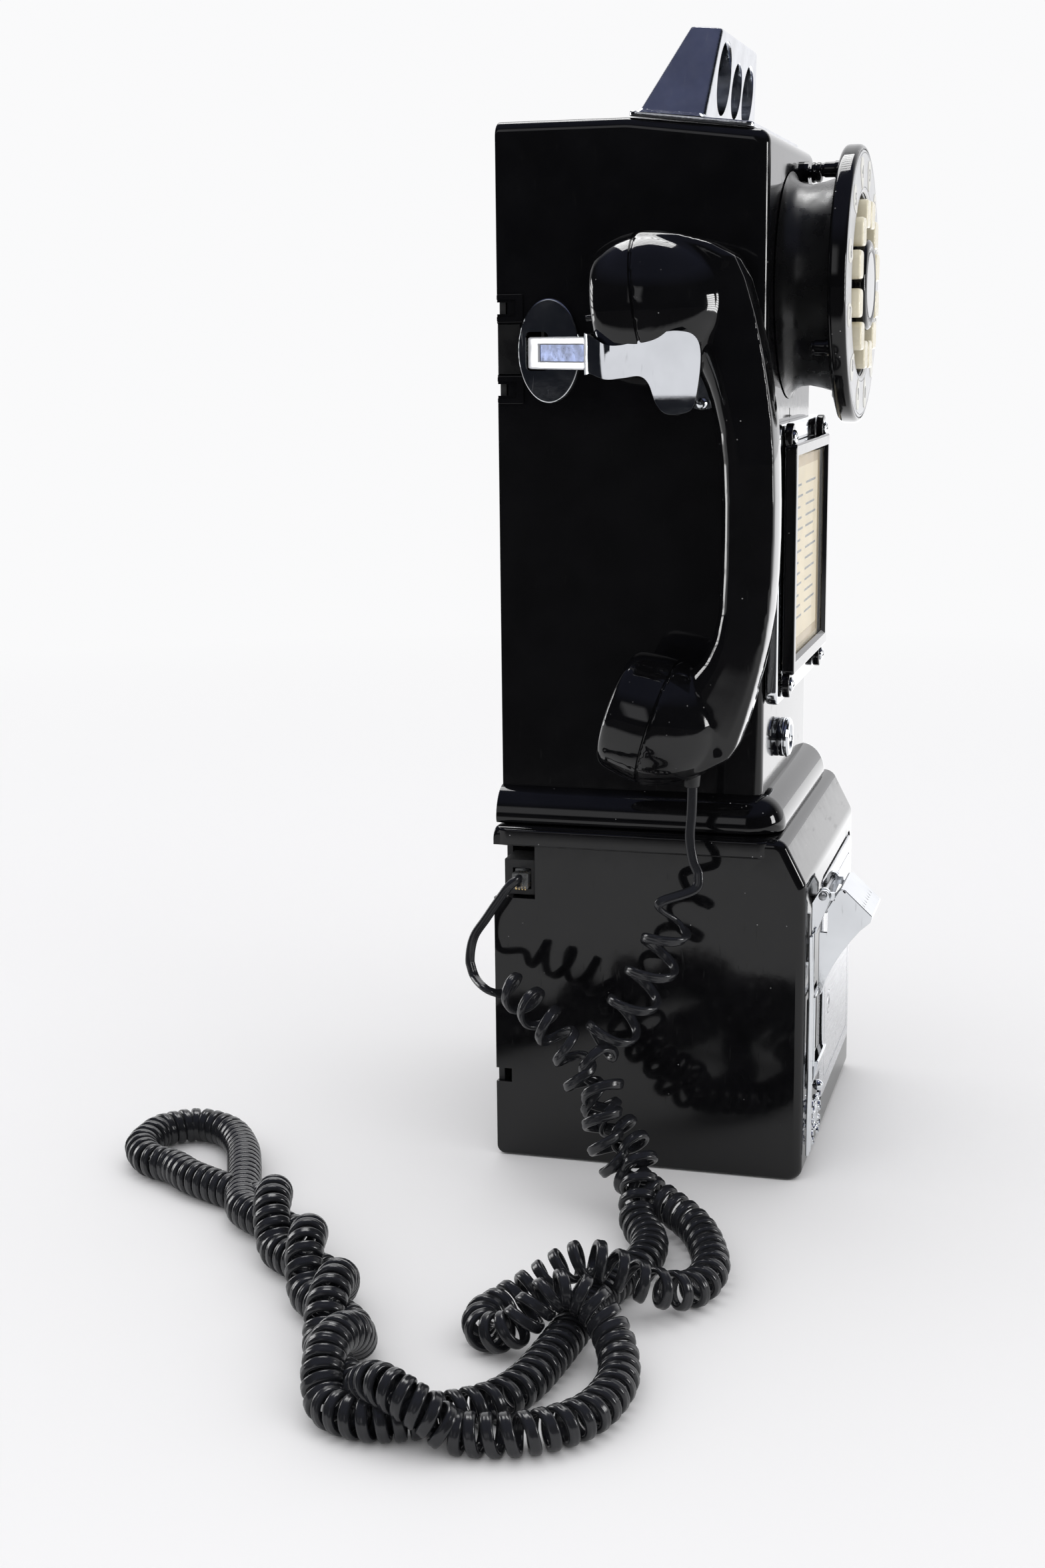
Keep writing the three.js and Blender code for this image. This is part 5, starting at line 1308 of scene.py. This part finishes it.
def make_handset():
    stations = [
        (-17.5, 381.8, -13, 352), (-30, 378.3, -17, 345), (-38.6, 373.6, -20, 338), (-42.5, 365.3, -22.5, 334),
        (-46.4, 352, -24.5, 329), (-49.4, 338.6, -26.5, 325), (-51.6, 325, -28.6, 319), (-53.4, 312, -31, 309),
        (-54.4, 297, -32.4, 296), (-54.8, 282, -33, 282), (-54.8, 268, -33, 268), (-54.4, 254, -32.8, 254),
        (-53.4, 240, -32.2, 240), (-51.6, 227.5, -30.2, 229.5), (-49.3, 216.8, -26.5, 221.5), (-46.8, 207, -22.6, 217),
        (-43.8, 196.6, -18.5, 212), (-40.6, 187, -14, 206), (-37.4, 182.2, -11, 200), (-28, 176.8, -8, 196),
        (-18.5, 173.2, -6, 192),
    ]
    grip = loft("handset_body", [handset_section(*row, 13.6, 9.6) for row in stations])
    ear = smooth_profile([(29, 0), (28.4, 7), (26.4, 13), (23.4, 19), (19.4, 24.4), (14.0, 29), (7.4, 32.2), (0, 33.2)])
    mouth = smooth_profile([(25.7, 0), (25, 4), (23.4, 9), (21, 14.4), (17.4, 19.8), (12.4, 24.2), (6.6, 27.2),
                            (0, 28.2)])
    crown = rounded([(-0.6, 383.2), (-16.6, 382.2), (-27.9, 379.2), (-38.6, 374), (-30, 350), (-2, 350)],
                    [0, 8, 8, 3, 4, 0])
    chin = rounded([(-1.6, 170.2), (-11, 171.1), (-18.5, 173.2), (-27.6, 176.8), (-37.6, 182.2), (-30, 196), (-9, 194)],
                   [0, 6, 6, 6, 3, 4, 0])
    body = join(grip, lathe("ear", [(0, 0)] + ear, EAR, -EAR_AXIS, 128),
                lathe("mouth", [(0, 0)] + mouth, MOUTH, -MOUTH_AXIS, 128),
                bevel(prism("crown", crown, "side", HANDSET_X - 11.5, 23), 2.5, 4),
                bevel(prism("chin", chin, "side", HANDSET_X - 11.5, 23), 2.5, 4))
    body = cut(body, rod("trim_ear", EAR, EAR_AXIS, 60, 30), rod("trim_mouth", MOUTH, MOUTH_AXIS, 60, 30))
    remesh = body.modifiers.new("remesh", "REMESH")
    remesh.mode = "VOXEL"
    remesh.voxel_size = 0.9 * MM
    bake(body)
    soften = body.modifiers.new("soften", "SMOOTH")
    soften.factor = 0.5
    soften.iterations = 9
    bake(body)
    body = cut(body, rod("trim_ear", EAR, EAR_AXIS, 60, 30, 96), rod("trim_mouth", MOUTH, MOUTH_AXIS, 60, 30, 96),
               rod("ear_pocket", EAR + EAR_AXIS, -EAR_AXIS, 22, 11, 96),
               rod("mouth_pocket", MOUTH + MOUTH_AXIS, -MOUTH_AXIS, 19, 11, 96),
               rod("cord_hole", (HANDSET_X, -21.8, 165), UP, 2.3, 14, 32))
    dress(body, HANDSET_BLACK, "handset", "black_gloss", "handset_body", angle=50)
    profile = [(2.0, 0), (2.0, -5), (2.4, -5.4), (3.0, -5), (3.6, 1), (3.4, 3), (2.0, 3)]
    relief = lathe("cord_relief", profile, (HANDSET_X, -21.8, 174.4), UP, 48, closed=True)
    dress(relief, MATTE, "handset", "black_gloss")

    make_cap("ear_cap", EAR, EAR_AXIS, [
        (0, 0.2), (27, 0.2), (27, -1.6), (27.9, -1.6), (28.1, -0.1), (28.3, 0.15), (29.0, 0.45), (28.95, 1.6),
        (28.6, 5.2), (27.6, 9.2), (26.4, 12.4), (25.4, 14.4), (24.2, 16), (22.6, 17.1), (20.6, 17.7), (12, 18.6),
        (0, 18.9)])
    make_cap("mouth_cap", MOUTH, MOUTH_AXIS, [
        (0, 0.2), (23.8, 0.2), (23.8, -1.6), (24.6, -1.6), (24.8, -0.1), (25.0, 0.15), (25.7, 0.45), (25.7, 1.6),
        (25.6, 5), (25.1, 9.4), (24.6, 13), (24.1, 15.2), (23.2, 16.8), (21.8, 17.8), (19.8, 18.4), (12, 19.2),
        (0, 19.5)])
    for name, centre, axis, radius in (("receiver", EAR, EAR_AXIS, 21.0), ("transmitter", MOUTH, MOUTH_AXIS, 18.0)):
        profile = [(0, 0.8), (radius - 0.4, 0.8), (radius, 1.3), (radius, 4), (radius - 1.2, 4.4),
                   (radius - 1.2, 7.4), (radius - 2, 8), (0, 8)]
        dress(lathe(name, profile, centre, -axis, 96), GREY, "handset", "grey", name)


def make_cap(name, centre, axis, profile):
    """The cap over one end, with its sound holes."""
    cap = lathe(name, profile, centre, axis, 128)
    holes = [rod("hole", centre + axis * 16 + offset, axis, 1.1, 6, 16) for offset in hole_offsets(axis)]
    dress(cut(cap, *holes), HANDSET_BLACK, "handset", "black_gloss", name, angle=40)


def hole_offsets(axis):
    """Centres of the sound holes: one in the middle and two rings."""
    across = Vector(RIGHT)
    other = axis.cross(across)
    offsets = [Vector((0, 0, 0))]
    for radius, count in ((5.5, 6), (11, 12)):
        for k in range(count):
            a = math.tau * k / count
            offsets.append((across * math.cos(a) + other * math.sin(a)) * radius)
    return offsets


# ------------------------------------------------------------------ inside and jack
def make_inside():
    board = bevel(box("main_board", -48, 48, 30, 31.6, 190, 300), 0.2, 1)
    dress(board, BOARD, "housing", "board", "main_board")
    parts = []
    for x, z, w, h, d in ((-20, 250, 9, 6, 2), (12, 262, 12, 7, 2.4), (30, 225, 8, 12, 8), (-34, 215, 7, 7, 10),
                          (2, 210, 14, 5, 3)):
        parts.append(bevel(box("chip", x - w, x + w, 29.8 - d, 29.9, z - h, z + h), 0.4, 2))
    for x, z in ((-10, 285), (6, 285), (30, 280)):
        parts.append(bevel(rod("capacitor", (x, 29.9, z), FRONT, 4, 11, 32), 0.5, 2))
    dress(gather("board_components", parts), MATTE, "housing", "board")
    bell = [(0, 0), (18.5, 0), (19.6, 0.8), (20, 2), (20, 16), (19.2, 17.4), (17.8, 18), (12, 18), (11, 16.8),
            (0, 16.8)]
    dress(lathe("ringer", bell, (10, 4, 200), BACK, 96), STEEL, "housing", "steel", "ringer")


def make_jack():
    body = bevel(box("jack", -73.2, -57, 48.4, 61.6, 115.4, 130.6), 0.5, 2)
    body = cut(body, box("socket", -80, -60, 50, 58, 118, 127))
    dress(body, MATTE, "housing", "black_matte", "jack")
    plug = bevel(box("cord_plug", -76.6, -62, 50.6, 57.4, 118.6, 125.4), 0.45, 3)
    latch = rounded([(-78, 126.9), (-70, 125.2), (-63, 125.2), (-63, 126.2), (-70, 126.4), (-78, 127.8)], 0.3)
    merge(plug, bevel(prism("latch", latch, "front", -55.6, 3.2), 0.2, 2))
    dress(plug, CLEAR, "housing", "clear", "cord_plug")
    contacts = [bevel(box("contact", -75.4, -68, y, y + 0.6, 117.9, 119.6), 0.1, 1) for y in (51.8, 53.1, 54.4, 55.7)]
    dress(gather("plug_contacts", contacts), COPPER, "housing", "clear")
    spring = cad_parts["hook_spring"]
    spring.data.materials.clear()
    spring.data.materials.append(STEEL)


for build in (make_base_housing, make_plates, make_upper_housing, make_coin_gauge, make_coin_path, make_dial_body,
              make_keys, make_release_button, make_card_holder, make_housing_lock, make_vault_door, make_return_plate,
              make_return_hood, make_hook, make_hook_works, make_handset, make_inside, make_jack):
    build()
